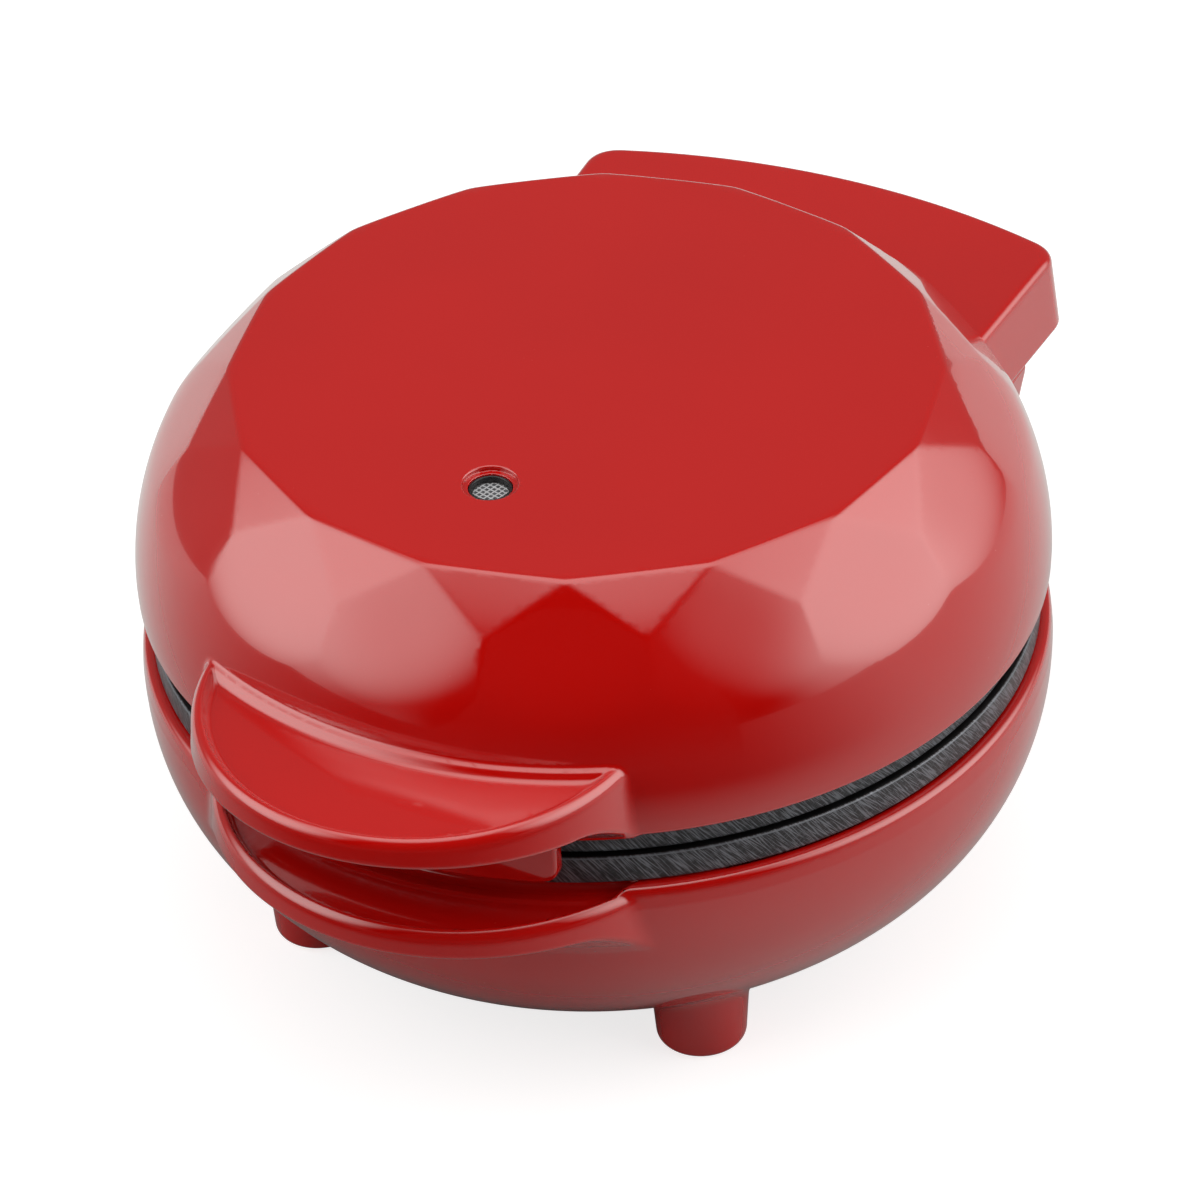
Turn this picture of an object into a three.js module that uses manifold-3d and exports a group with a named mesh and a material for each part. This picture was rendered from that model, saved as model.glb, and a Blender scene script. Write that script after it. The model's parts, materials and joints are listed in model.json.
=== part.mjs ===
// Mini waffle maker: a round countertop cooker with a faceted lid on a rear hinge.
// Millimetres, +Z up. The handles point to -Y, the hinge lies at +Y.
// The model is laid out around the upright axis of its round body and shifted
// at the end, so that the origin is under the middle of the whole outline.

import * as THREE from 'three';
import { mergeVertices } from 'three/addons/utils/BufferGeometryUtils.js';
import Module from 'manifold-3d';

const wasm = await Module();
wasm.setup();

// Clearances and walls
const seatGap = 0.3; // between touching pieces
const overrun = 3; // how far a cutting tool passes the face that it cuts
const shellWall = 2.6; // moulded housings
const deepRoot = 1.2; // how far a boss is rooted in the wall that carries it

// Round body
const bodyRadius = 63.5; // widest radius of the lid
const roundSteps = 48; // facets of the large round shapes, a multiple of the lid's facets
const partingZ = 47.4; // top face of the lower plate, where the lid and the base part
const plateFlange = 4.3; // edge band of each cooking plate

// Base bowl: a flat floor that swells into an upright wall
const bowlSwell = 0.2; // the bowl stands out past the lid
const bowlRadius = bodyRadius + bowlSwell;
const bowlFloorInset = 21.8;
const bowlFloorRadius = bowlRadius - bowlFloorInset;
const bowlFloorZ = 6.9;
const bowlRimZ = partingZ - plateFlange - seatGap;
const bowlBand = 3.3; // nearly upright stretch under the rim
const bowlShoulderZ = bowlRimZ - bowlBand;
const bowlRimDraft = 0.3;
const bowlRimRadius = bowlRadius - bowlRimDraft;
const bowlOutPower = 1.43; // how squarely the bowl swells outwards
const bowlUpPower = 0.9; // how squarely the bowl climbs
const bowlSteps = 7;

// Lid dome: one arc from the rim to the table, trimmed by a cut-gem crown
const lidRimLift = 4.4; // the rim over the parting plane
const lidRimZ = partingZ + lidRimLift;
const lidRimDraft = 0.1;
const lidRimRadius = bodyRadius - lidRimDraft;
const lidRimWall = 1.9; // left of the rim outside the upper plate
const lidRoom = 9.1; // from the upper heat shield to the ceiling
const domeArcLift = 2.2;
const domeArcZ = lidRimZ + domeArcLift; // height of the arc's centre
const domeTrim = 7.9; // how much of the dome the flat top takes off
const domeSteps = 6;
const tableInset = 14.5;
const tableRadius = bodyRadius - tableInset; // corners of the flat top
const facetCount = 16;
const facetTipInset = 8.5;
const facetTipRadius = bodyRadius - facetTipInset; // where a triangle facet ends between two kites
const facetDrop = 5.8;

// Cooking plates
const plateInset = 1.5;
const lowerPlateRadius = bodyRadius - plateInset;
const cavityBorder = 11;
const cavityRadius = lowerPlateRadius - cavityBorder; // the round waffle
const cavityDraft = 1.5;
const cavityDepth = 8.5;
const plateFloor = 2.5;
const panWall = 2.5;
const plateSteps = 40;

// Waffle grid
const gridPitch = 16.5;
const gridRidgesPerSide = 2; // ridges on each side of the middle one
const ridgeTopWidth = 3.4;
const ridgeFootWidth = 6.2;
const ridgeHeight = 5.6;

// Lid handle: a crescent tray
const lidHandleRadius = 30.8;
const lidHandleReach = 18.7; // past the round body
const lidHandleCentre = bodyRadius + lidHandleReach - lidHandleRadius; // in front of the axis
const lidHandleHeight = 11;
const lidHandleTopZ = lidRimZ + lidHandleHeight;
const lidHandleRise = 2; // how far the underside climbs to the outer edge
const lidCoveOut = 7.3; // cove under the handle's root
const lidCoveUp = 5.1;
const lidTrayDepth = 2.8;
const lidTrayBorder = 1.9;
const trayInset = 1.5; // ridge between the tray and the body

// Skirt in front of the plates, under the lid handle
const skirtHalfWidth = 23;
const skirtGap = 0.4; // to the lower plate
const skirtWall = 2;
const skirtLift = 2.2; // its lower edge over the bowl's rim
const skirtBottomZ = bowlRimZ + skirtLift;

// Base handle: a shallower crescent lip
const baseHandleRadius = 35.1;
const baseHandleReach = 10.4;
const baseHandleCentre = bodyRadius + baseHandleReach - baseHandleRadius;
const baseHandleDrop = 0.4;
const baseHandleTopZ = bowlRimZ - baseHandleDrop;
const baseHandleRise = 0.3;
const baseCoveOut = 5;
const baseCoveUp = 4.7;
const baseHandleHeight = 9.4;
const baseHandleRootZ = baseHandleTopZ - baseHandleHeight;
const baseTrayDepth = 2.2;
const baseTrayBorder = 1.5;

// Cove outline from the body to the underside: outward share, upward share
const coveShares = [[0, 0], [0.3, 0.47], [0.72, 0.88], [1, 1]];

// Rear hood of the lid, a fan that covers the hinge
const hoodReach = 22.5; // past the round body
const hoodRearY = bodyRadius + hoodReach;
const hoodRearRadius = 110;
const barrelHalfWidth = 33; // of the hinge inside the hood
const hoodSideRoom = 6.1; // from the barrel's end to the hood's rear corner
const hoodHalfWidth = barrelHalfWidth + hoodSideRoom; // at the rear corners, along the lower edge
const hoodTaper = 2.1;
const hoodFrontHalfWidth = hoodHalfWidth - hoodTaper;
const hoodDraft = 1.7; // how far each side leans in towards the top
const hoodRoot = 23.5;
const hoodFrontY = bodyRadius - hoodRoot; // inside the dome
const hoodCorner = 3.4;
const hoodHeight = 11;
const hoodTopZ = lidRimZ + hoodHeight;
const hoodEdge = 1.1; // rounding of the top edge
const hoodWall = 2.4;
const hoodRearSteps = 10;

// Hinge
const hingeReach = 8.5; // past the round body
const hingeY = bodyRadius + hingeReach;
const hingeLift = 2.7;
const hingeZ = lidRimZ + hingeLift;
const barrelRadius = 5.3;
const barrelInner = 20; // half width of the space between the two knuckles
const pinRadius = 2;
const pinDepth = 11; // in the knuckle
const pinTail = 2; // in the hood's boss
const hingeSteps = 16;
const webReach = 3.7; // stays clear of the hood's rear edge as the lid opens
const webRearY = bodyRadius + webReach;
const webRoot = 13.5;
const webFootY = bodyRadius - webRoot;
const webKneeDrop = 6.8;
const webKneeZ = bowlRimZ - webKneeDrop;
const webRise = 12;
const webFootZ = webKneeZ - webRise;
const webShoulderDrop = 3;
const webShoulderZ = lidRimZ - webShoulderDrop;
const webTopDrop = 0.6;
const webTopZ = lidRimZ - webTopDrop;
const webPlateGap = 0.6;
const braceReach = 4.4; // the web's braces reach out under the hood's sides
const wingHalfWidth = barrelHalfWidth + braceReach;
const wingKneeDrop = 2;
const wingKneeZ = lidRimZ - wingKneeDrop;
const wingFootLift = 2;
const wingFootZ = webFootZ + wingFootLift;

// Wires between base and lid
const sleeveRadius = 1.5;
const sleeveX = 9; // to each side of the middle
const ductHalfWidth = 3;
const ductDepth = 3.6;
const ductFootDrop = 5.8;
const ductFootZ = bowlRimZ - ductFootDrop;
const sleeveStartInset = 8.5;
const sleeveStartY = bodyRadius - sleeveStartInset;
const sleeveStartDrop = 6.8;
const sleeveStartZ = bowlRimZ - sleeveStartDrop;
const sleeveBendDrop = 2.6;
const sleeveBendZ = bowlRimZ - sleeveBendDrop; // where it passes the bowl's rim
const wireSlotLift = 0.9;
const wireSlotFootZ = lidRimZ + wireSlotLift;
const wireSlotHeight = 5;
const wireSlotTopZ = wireSlotFootZ + wireSlotHeight;

// Feet
const footLift = 0.2; // the moulded foot stays off the table, its rubber pad stands on it
const footRootZ = 20; // the bowl's hollow trims it
const footInset = 12.1; // from the edge of the bowl's floor, as the next two are
const footX = bowlFloorRadius - footInset;
const footFrontInset = 9.5;
const footFrontY = footFrontInset - bowlFloorRadius;
const footRearInset = 3.4; // far enough back to stand with the lid open
const footRearY = bowlFloorRadius - footRearInset;
const footTopRadius = 7.6;
const footRadius = 6.3;
const footRound = 1.1;
const footPadRadius = 3.8;
const footPadRecess = 1;
const footPadHeight = 1.3;
const footSteps = 16;
const footPlaces = ['front_left', 'front_right', 'rear_right', 'rear_left'];

// Screw wells in the bowl, and the posts above them
const wellInset = 13.5;
const wellRadius = bodyRadius - wellInset; // from the axis
const wellBore = 3.5;
const wellWall = 1.6;
const wellDrop = 8; // its roof under the lower plate's back
const wellRoofZ = partingZ - cavityDepth - plateFloor - wellDrop;
const wellRoof = 2.4;
const screwAngles = [-97, 23, 143];
const screwPlaces = ['front', 'right', 'left'];

// Fasteners
const screwRadius = 1.6;
const screwBite = 5.2;
const screwHeadRadius = 3.2;
const screwHead = 2.1;
const screwSlotWidth = 0.9;
const screwSlotDepth = 0.8;
const pilotGap = 0.3;
const bossRadius = 4;
const smallSteps = 12;

// Heating elements
const ringInset = 15; // from the edge of the waffle
const ringRadius = cavityRadius - ringInset;
const tubeRadius = 3.2;
const ringGapDegrees = 20; // half the open part of the ring, at the rear
const tubeBend = 4.5;
const tubeLeg = 10.5; // from the ring's centre line to the tube's end
const terminalRadius = 1.1;
const terminalLength = 9;
const upperTerminalLength = 5; // stays under the lid's ceiling
const beadRadius = 3;
const beadHeight = 3.2;
const tubeSides = 8;
const endPlaces = ['right', 'left'];

// Element clamps and heat shields
const clampOverhang = 4; // past the ring's centre line
const clampOuter = ringRadius + clampOverhang;
const clampBand = 26;
const clampInner = clampOuter - clampBand;
const sheetSteel = 1;
const clampNotchHalfWidth = 17;
const clampNotchY = 27;
const clampScrewInset = 12; // from the ring
const clampScrewRadius = ringRadius - clampScrewInset; // from the axis
const shieldSheet = 0.8;
const shieldLip = 4;
const lowerShieldOverhang = 7.5;
const lowerShieldRadius = ringRadius + lowerShieldOverhang;
const upperShieldOverhang = 1;
const upperShieldRadius = cavityRadius + upperShieldOverhang;
const spacerHeight = 3.6;
const spacerWall = 1.4;
const shieldPort = 11.5; // middle hole round the thermostat
const shieldNotchY = 26;

// Lid posts and plate clips
const postRadius = 3.6;
const postInset = 6;
const postCircle = cavityRadius - postInset;
const clipAngles = [-30, 90, 210];
const clipPlaces = ['right', 'rear', 'left'];
const clipCircle = postCircle;
const clipWidth = 6;
const clipSheet = 0.8;
const clipBarb = 1.6;
const clipHead = 3.2;
const clipSlotGap = 0.5;

// Thermostat on the lower plate's back
const thermostatRadius = 8;
const thermostatHeight = 8.6;
const thermostatTab = 6;
const thermostatTabWidth = 5;
const thermostatTabSpacing = 6;
const bracketWidth = 7;
const bracketLap = 6; // on the lower clamp
const bracketHalfLength = clampInner + bracketLap;
const bracketFlange = 7;
const smallScrewRadius = 1.1;
const smallHeadRadius = 2.2;
const smallHead = 1.4;

// Thermal fuse and its clip under the lower heat shield
const fuseRadius = 2.2;
const fuseLength = 22;
const fuseX = -24;
const fuseY = -14;
const fuseClipWidth = 6;

// Terminal block on the bowl's floor
const blockWidth = 26;
const blockDepth = 14;
const blockHeight = 9;
const blockY = 20;
const blockPegRadius = 3;
const blockPegHeight = 2.6;
const blockPegX = 9.2;
const blockWells = 3;
const blockWellRadius = 1.8;
const blockWellDepth = 3.2;

// Cord inlet in the rear of the bowl
const inletZ = 23;
const inletBossRadius = 8.5;
const inletProud = 0.5; // past the round body
const inletFaceY = bodyRadius + inletProud;
const inletBossRoot = 7.5;
const inletBossRootY = bodyRadius - inletBossRoot;
const glandBore = 3.3;
const glandNeck = 4.6;
const glandFlange = 7;
const glandFlangeDepth = 2.2;
const glandLipRadius = 6;
const glandLipDepth = 1.6;

// Indicator in the lid's flat top
const lampInset = 19.7; // from a corner of the flat top
const lampY = lampInset - tableRadius;
const lampRecessRadius = 3.75;
const lampRecess = 0.7;
const lampHoleRadius = 3;
const lensDrop = 1.1; // how far the lens lies under the flat top
const lensFlangeRadius = 4.1;
const lensFlange = 1;
const lampRadius = 1.9;
const lampLength = 4.2;
const holderWall = 1.2;
const holderDepth = 7;

// Sizes that follow from the ones above
const upperPartingZ = partingZ + seatGap;
const upperPlateRadius = lidRimRadius - lidRimWall - seatGap;
const lidRimInner = upperPlateRadius + seatGap;
const panDepth = cavityDepth + plateFloor;
const lowerBackZ = partingZ - panDepth;
const upperBackZ = upperPartingZ + panDepth;
const ridgeTopDrop = cavityDepth - ridgeHeight;
const frontReach = lidHandleCentre + lidHandleRadius;
const ringDrop = seatGap + tubeRadius; // from a plate's back to the ring's centre line
const clampDrop = ringDrop + tubeRadius + seatGap; // from a plate's back to the clamp
const clampFarDrop = clampDrop + sheetSteel;
const lowerShieldDrop = clampFarDrop + seatGap + spacerHeight + seatGap;
const upperShieldZ = upperBackZ + clampFarDrop + spacerHeight + seatGap;
const lidCeilingZ = upperShieldZ + shieldSheet + lidRoom;
const tableZ = lidCeilingZ + shellWall; // flat top
const facetTipZ = tableZ - facetDrop;
const domeArcRadius = tableZ - domeArcZ + domeTrim;
const domeCentre = bodyRadius - domeArcRadius;
const pinBore = pinRadius + pilotGap;
const bracketFlangeZ = lowerBackZ - clampFarDrop - seatGap;
const bracketHoleX = bracketHalfLength - bracketFlange / 2;
const fuseClipRadius = fuseRadius + seatGap + sheetSteel;
const fuseClipZ = lowerBackZ - lowerShieldDrop - shieldSheet - seatGap;
const fuseZ = fuseClipZ - fuseClipRadius;
const bowlInnerRadius = bowlRadius - shellWall;
const blockPegZ = bowlFloorZ + shellWall + blockPegHeight;
const blockFootZ = blockPegZ + seatGap;
const blockTopZ = blockFootZ + blockHeight;
const ductRearY = lowerPlateRadius + webPlateGap + ductDepth;
const boltHole = screwRadius + pilotGap;
const smallHole = smallScrewRadius + pilotGap;
const clampTopZ = -clampDrop + overrun;
const clampUnderZ = -clampFarDrop - overrun;

// Materials
const redGloss = { color: 0xbe342f, roughness: 0.16, metalness: 0 };
const plateCoat = { color: 0x2a2b2e, roughness: 0.45, metalness: 0.4 };
const steel = { color: 0x9a9c9f, roughness: 0.35, metalness: 1 };
const heaterSheath = { color: 0x6c655f, roughness: 0.5, metalness: 0.8 };
const shieldSheen = { color: 0xc3c6c9, roughness: 0.3, metalness: 1 };
const ceramic = { color: 0xe9e4d8, roughness: 0.6, metalness: 0 };
const blackPlastic = { color: 0x1c1c1e, roughness: 0.5, metalness: 0 };
const whitePlastic = { color: 0xdedbd2, roughness: 0.5, metalness: 0 };
const rubber = { color: 0x191919, roughness: 0.85, metalness: 0 };
const glass = { color: 0xf2b48c, roughness: 0.08, metalness: 0 };
const lensGrey = { color: 0xa8a9ab, roughness: 0.2, metalness: 0 };
const glassFibre = { color: 0xe6dcc4, roughness: 0.8, metalness: 0 };

// Turns a closed three.js geometry into a solid that can be joined and cut
function solid(geometry) {
  const bare = geometry.clone();
  bare.deleteAttribute('normal');
  bare.deleteAttribute('uv');
  const merged = mergeVertices(bare, 1e-4);
  const corners = merged.index.array;
  const faces = [];
  for (let i = 0; i < corners.length; i += 3) {
    const [a, b, c] = [corners[i], corners[i + 1], corners[i + 2]];
    if (a !== b && b !== c && c !== a) faces.push(a, b, c);
  }
  const made = new wasm.Mesh({
    numProp: 3,
    vertProperties: new Float32Array(merged.attributes.position.array),
    triVerts: new Uint32Array(faces),
  });
  return new wasm.Manifold(made);
}

// Gives a solid its name and finish
function piece(name, shape, finish) {
  const made = shape.getMesh();
  const geometry = new THREE.BufferGeometry();
  geometry.setAttribute('position', new THREE.BufferAttribute(made.vertProperties, 3));
  geometry.setIndex(new THREE.BufferAttribute(made.triVerts, 1));
  geometry.computeVertexNormals();
  const mesh = new THREE.Mesh(geometry, new THREE.MeshStandardMaterial(finish));
  mesh.name = name;
  return mesh;
}

// Like pieces of one kind, each a node named after its place
function pieces(name, places, shapes, finish) {
  return shapes.map((shape, i) => piece(`${name}_${places[i]}`, shape, finish));
}

// Turned solid: a closed outline of [radius, height] pairs spun round the Z axis
function turned(outline, steps = roundSteps) {
  const area = outline.reduce((sum, [r, z], i) => {
    const [nextR, nextZ] = outline[(i + 1) % outline.length];
    return sum + r * nextZ - nextR * z;
  }, 0);
  const ordered = area > 0 ? outline : [...outline].reverse();
  const points = [...ordered, ordered[0]].map(([r, z]) => new THREE.Vector2(r, z));
  const geometry = new THREE.LatheGeometry(points, steps);
  geometry.rotateX(Math.PI / 2);
  return solid(geometry);
}

// Side outline of [y, z] pairs drawn across the width, from one x to another
function drawnAcross(outline, fromX, toX) {
  const shape = new THREE.Shape(outline.map(([y, z]) => new THREE.Vector2(y, z)));
  const geometry = new THREE.ExtrudeGeometry(shape, { depth: toX - fromX, bevelEnabled: false });
  geometry.rotateY(Math.PI / 2);
  geometry.rotateX(Math.PI / 2);
  geometry.translate(fromX, 0, 0);
  return solid(geometry);
}

function block(fromX, toX, fromY, toY, fromZ, toZ) {
  const geometry = new THREE.BoxGeometry(toX - fromX, toY - fromY, toZ - fromZ);
  geometry.translate((fromX + toX) / 2, (fromY + toY) / 2, (fromZ + toZ) / 2);
  return solid(geometry);
}

function uprightRod(x, y, radius, fromZ, toZ, steps = smallSteps) {
  const geometry = new THREE.CylinderGeometry(radius, radius, toZ - fromZ, steps);
  geometry.rotateX(Math.PI / 2);
  geometry.translate(x, y, (fromZ + toZ) / 2);
  return solid(geometry);
}

function crossRod(y, z, radius, fromX, toX, steps = hingeSteps) {
  const geometry = new THREE.CylinderGeometry(radius, radius, toX - fromX, steps);
  geometry.rotateZ(Math.PI / 2);
  geometry.translate((fromX + toX) / 2, y, z);
  return solid(geometry);
}

function lengthwiseRod(x, z, radius, fromY, toY, steps = smallSteps) {
  const geometry = new THREE.CylinderGeometry(radius, radius, toY - fromY, steps);
  geometry.translate(x, (fromY + toY) / 2, z);
  return solid(geometry);
}

// Round tube along a smooth curve through the given points
function tube(points, radius, steps, sides = tubeSides) {
  const section = new THREE.Shape();
  section.absarc(0, 0, radius, 0, 2 * Math.PI);
  const path = new THREE.CatmullRomCurve3(points.map((p) => new THREE.Vector3(...p)));
  const options = { steps, curveSegments: sides / 2, bevelEnabled: false, extrudePath: path };
  return solid(new THREE.ExtrudeGeometry(section, options));
}

function at(angleDegrees, radius) {
  const angle = THREE.MathUtils.degToRad(angleDegrees);
  return [radius * Math.cos(angle), radius * Math.sin(angle)];
}

function joined(parts) {
  return parts.reduce((whole, part) => whole.add(part));
}

function without(whole, cutters) {
  return cutters.reduce((left, cutter) => left.subtract(cutter), whole);
}

// Outline of the bowl's wall, drawn in by an inset, from the floor up to the rim
function bowlOutline(inset) {
  const floorRadius = bowlFloorRadius - inset / 2;
  const wallRadius = bowlRadius - inset;
  const floorZ = bowlFloorZ + inset;
  const outline = [[0, floorZ]];
  for (let i = 0; i <= bowlSteps; i += 1) {
    const turn = (Math.PI / 2) * (1 - i / bowlSteps);
    const r = floorRadius + (wallRadius - floorRadius) * Math.cos(turn) ** bowlOutPower;
    const z = bowlShoulderZ - (bowlShoulderZ - floorZ) * Math.sin(turn) ** bowlUpPower;
    outline.push([r, z]);
  }
  return outline;
}

// Outline of the dome, drawn in by an inset, from the rim up to a flat ceiling
function domeOutline(inset, ceilingZ) {
  const arcRadius = domeArcRadius - inset;
  const lastTurn = Math.asin((ceilingZ - domeArcZ) / arcRadius);
  const outline = [];
  for (let i = 0; i <= domeSteps; i += 1) {
    const turn = (lastTurn * i) / domeSteps;
    outline.push([domeCentre + arcRadius * Math.cos(turn), domeArcZ + arcRadius * Math.sin(turn)]);
  }
  outline.push([0, ceilingZ]);
  return outline;
}

// Cut-gem crown: flat table, a triangle facet on each table edge and a kite
// facet on each table corner, with the kites running on down past the rim
function gemCrown() {
  const kiteHalf = Math.PI / facetCount;
  const kiteRun = facetTipRadius * Math.cos(kiteHalf) - tableRadius;
  const kiteSlope = (tableZ - facetTipZ) / kiteRun;
  const footZ = lidRimZ - overrun;
  const footRadius = (tableRadius + (tableZ - footZ) / kiteSlope) / Math.cos(kiteHalf);
  const corners = [];
  for (let i = 0; i < facetCount; i += 1) {
    const cornerAngle = -Math.PI / 2 + 2 * kiteHalf * i;
    const tipAngle = cornerAngle + kiteHalf;
    corners.push(tableRadius * Math.cos(cornerAngle), tableRadius * Math.sin(cornerAngle), tableZ);
    corners.push(facetTipRadius * Math.cos(tipAngle), facetTipRadius * Math.sin(tipAngle), facetTipZ);
    corners.push(footRadius * Math.cos(tipAngle), footRadius * Math.sin(tipAngle), footZ);
  }
  corners.push(0, 0, tableZ, 0, 0, footZ);
  const [tableMiddle, footMiddle] = [3 * facetCount, 3 * facetCount + 1];
  const faces = [];
  for (let i = 0; i < facetCount; i += 1) {
    const [corner, tip, foot] = [3 * i, 3 * i + 1, 3 * i + 2];
    const next = (3 * (i + 1)) % (3 * facetCount);
    const before = (3 * (i + facetCount - 1)) % (3 * facetCount);
    faces.push(tableMiddle, corner, next);
    faces.push(corner, tip, next);
    faces.push(corner, before + 1, before + 2, corner, before + 2, foot, corner, foot, tip);
    faces.push(footMiddle, foot, before + 2);
  }
  const geometry = new THREE.BufferGeometry();
  geometry.setAttribute('position', new THREE.Float32BufferAttribute(corners, 3));
  geometry.setIndex(faces);
  return solid(geometry);
}

// Crescent handle with a coved underside and a sunken tray
function crescent(size) {
  const whole = uprightRod(0, -size.centre, size.radius, size.rootZ, size.topZ, roundSteps);
  const reach = size.centre + size.radius + overrun;
  const coveEnd = size.bodyRadius + size.coveOut;
  const coveTop = size.rootZ + size.coveUp;
  const underside = coveShares.map(([out, up]) => [
    size.bodyRadius + size.coveOut * out,
    size.rootZ + size.coveUp * up,
  ]);
  const riseRate = size.rise / (size.centre + size.radius - coveEnd);
  const tipZ = coveTop + riseRate * (reach - coveEnd);
  const footZ = size.rootZ - overrun;
  const under = turned([...underside, [reach, tipZ], [reach, footZ], [size.bodyRadius, footZ]]);
  const trayZ = size.topZ - size.trayDepth;
  const trayTop = size.topZ + overrun;
  const trayRadius = size.radius - size.trayBorder;
  const trayRound = uprightRod(0, -size.centre, trayRadius, trayZ, trayTop, roundSteps);
  const ridgeRadius = size.bodyRadius + trayInset;
  const ridge = uprightRod(0, 0, ridgeRadius, trayZ - overrun, trayTop + overrun, roundSteps);
  return without(whole, [under, trayRound.subtract(ridge)]);
}

// Plan of the rear hood, drawn in by a wall: straight sides, round corners, bowed rear
function hoodPlan(inset) {
  const rearRadius = hoodRearRadius - inset;
  const rearCentre = hoodRearY - hoodRearRadius;
  const sideRate = (hoodHalfWidth - hoodFrontHalfWidth) / (hoodRearY - hoodFrontY);
  const rearHalf = hoodHalfWidth - inset - hoodCorner;
  const rearTurn = Math.asin(rearHalf / rearRadius);
  const cornerY = rearCentre + rearRadius * Math.cos(rearTurn) - hoodCorner;
  const sideX = (y) => hoodHalfWidth - inset - sideRate * (hoodRearY - y);
  const shape = new THREE.Shape();
  shape.moveTo(-sideX(hoodFrontY), hoodFrontY);
  shape.lineTo(sideX(hoodFrontY), hoodFrontY);
  shape.lineTo(sideX(cornerY), cornerY);
  shape.quadraticCurveTo(sideX(cornerY), cornerY + hoodCorner, rearHalf, cornerY + hoodCorner);
  for (let i = 1; i <= hoodRearSteps; i += 1) {
    const turn = rearTurn * (1 - (2 * i) / hoodRearSteps);
    shape.lineTo(rearRadius * Math.sin(turn), rearCentre + rearRadius * Math.cos(turn));
  }
  shape.quadraticCurveTo(-sideX(cornerY), cornerY + hoodCorner, -sideX(cornerY), cornerY);
  shape.closePath();
  return shape;
}

// Leans the hood's sides in towards its top
function drafted(geometry) {
  const places = geometry.attributes.position;
  for (let i = 0; i < places.count; i += 1) {
    const climb = (places.getZ(i) - lidRimZ) / (hoodTopZ - lidRimZ);
    places.setX(i, places.getX(i) * (1 - (hoodDraft / hoodHalfWidth) * climb));
  }
  return geometry;
}

// Rear hood with a rounded top edge, still solid
function hoodBody() {
  const geometry = new THREE.ExtrudeGeometry(hoodPlan(0), {
    depth: hoodTopZ - lidRimZ,
    curveSegments: 3,
    bevelEnabled: true,
    bevelSegments: 2,
    bevelSize: hoodEdge,
    bevelOffset: -hoodEdge,
    bevelThickness: hoodEdge,
  });
  geometry.translate(0, 0, lidRimZ - hoodEdge);
  const reach = hoodRearY + overrun;
  const below = block(-reach, reach, 0, reach, lidRimZ - hoodEdge - overrun, lidRimZ);
  return solid(drafted(geometry)).subtract(below);
}

function hoodHollow() {
  const depth = hoodTopZ - hoodWall - (lidRimZ - overrun);
  const options = { depth, curveSegments: 3, bevelEnabled: false };
  const geometry = new THREE.ExtrudeGeometry(hoodPlan(hoodWall), options);
  geometry.translate(0, 0, lidRimZ - overrun);
  const roundBody = uprightRod(0, 0, lidRimRadius, 0, tableZ, roundSteps);
  return solid(drafted(geometry)).subtract(roundBody);
}

// Bosses inside the hood's side walls that take the outer ends of the hinge pins
function hingeBosses() {
  const innerX = barrelHalfWidth + seatGap;
  const outerX = hoodHalfWidth - hoodWall;
  const bosses = [
    crossRod(hingeY, hingeZ, bossRadius, innerX, outerX),
    crossRod(hingeY, hingeZ, bossRadius, -outerX, -innerX),
  ];
  const reach = hoodRearY;
  const below = block(-reach, reach, 0, reach, 0, lidRimZ);
  return joined(bosses).subtract(below);
}

function hingeBores(depthInner, depthOuter) {
  return [
    crossRod(hingeY, hingeZ, pinBore, depthInner, depthOuter),
    crossRod(hingeY, hingeZ, pinBore, -depthOuter, -depthInner),
  ];
}

// Posts under the lid's ceiling that take the screws of its heat shield
function lidPosts() {
  const footZ = upperShieldZ + shieldSheet + seatGap;
  return screwAngles.map((angle) => {
    const [x, y] = at(angle, postCircle);
    const post = uprightRod(x, y, postRadius, footZ, lidCeilingZ + deepRoot);
    const pilot = uprightRod(x, y, boltHole, footZ - overrun, footZ + screwBite + seatGap);
    return post.subtract(pilot);
  });
}

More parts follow.
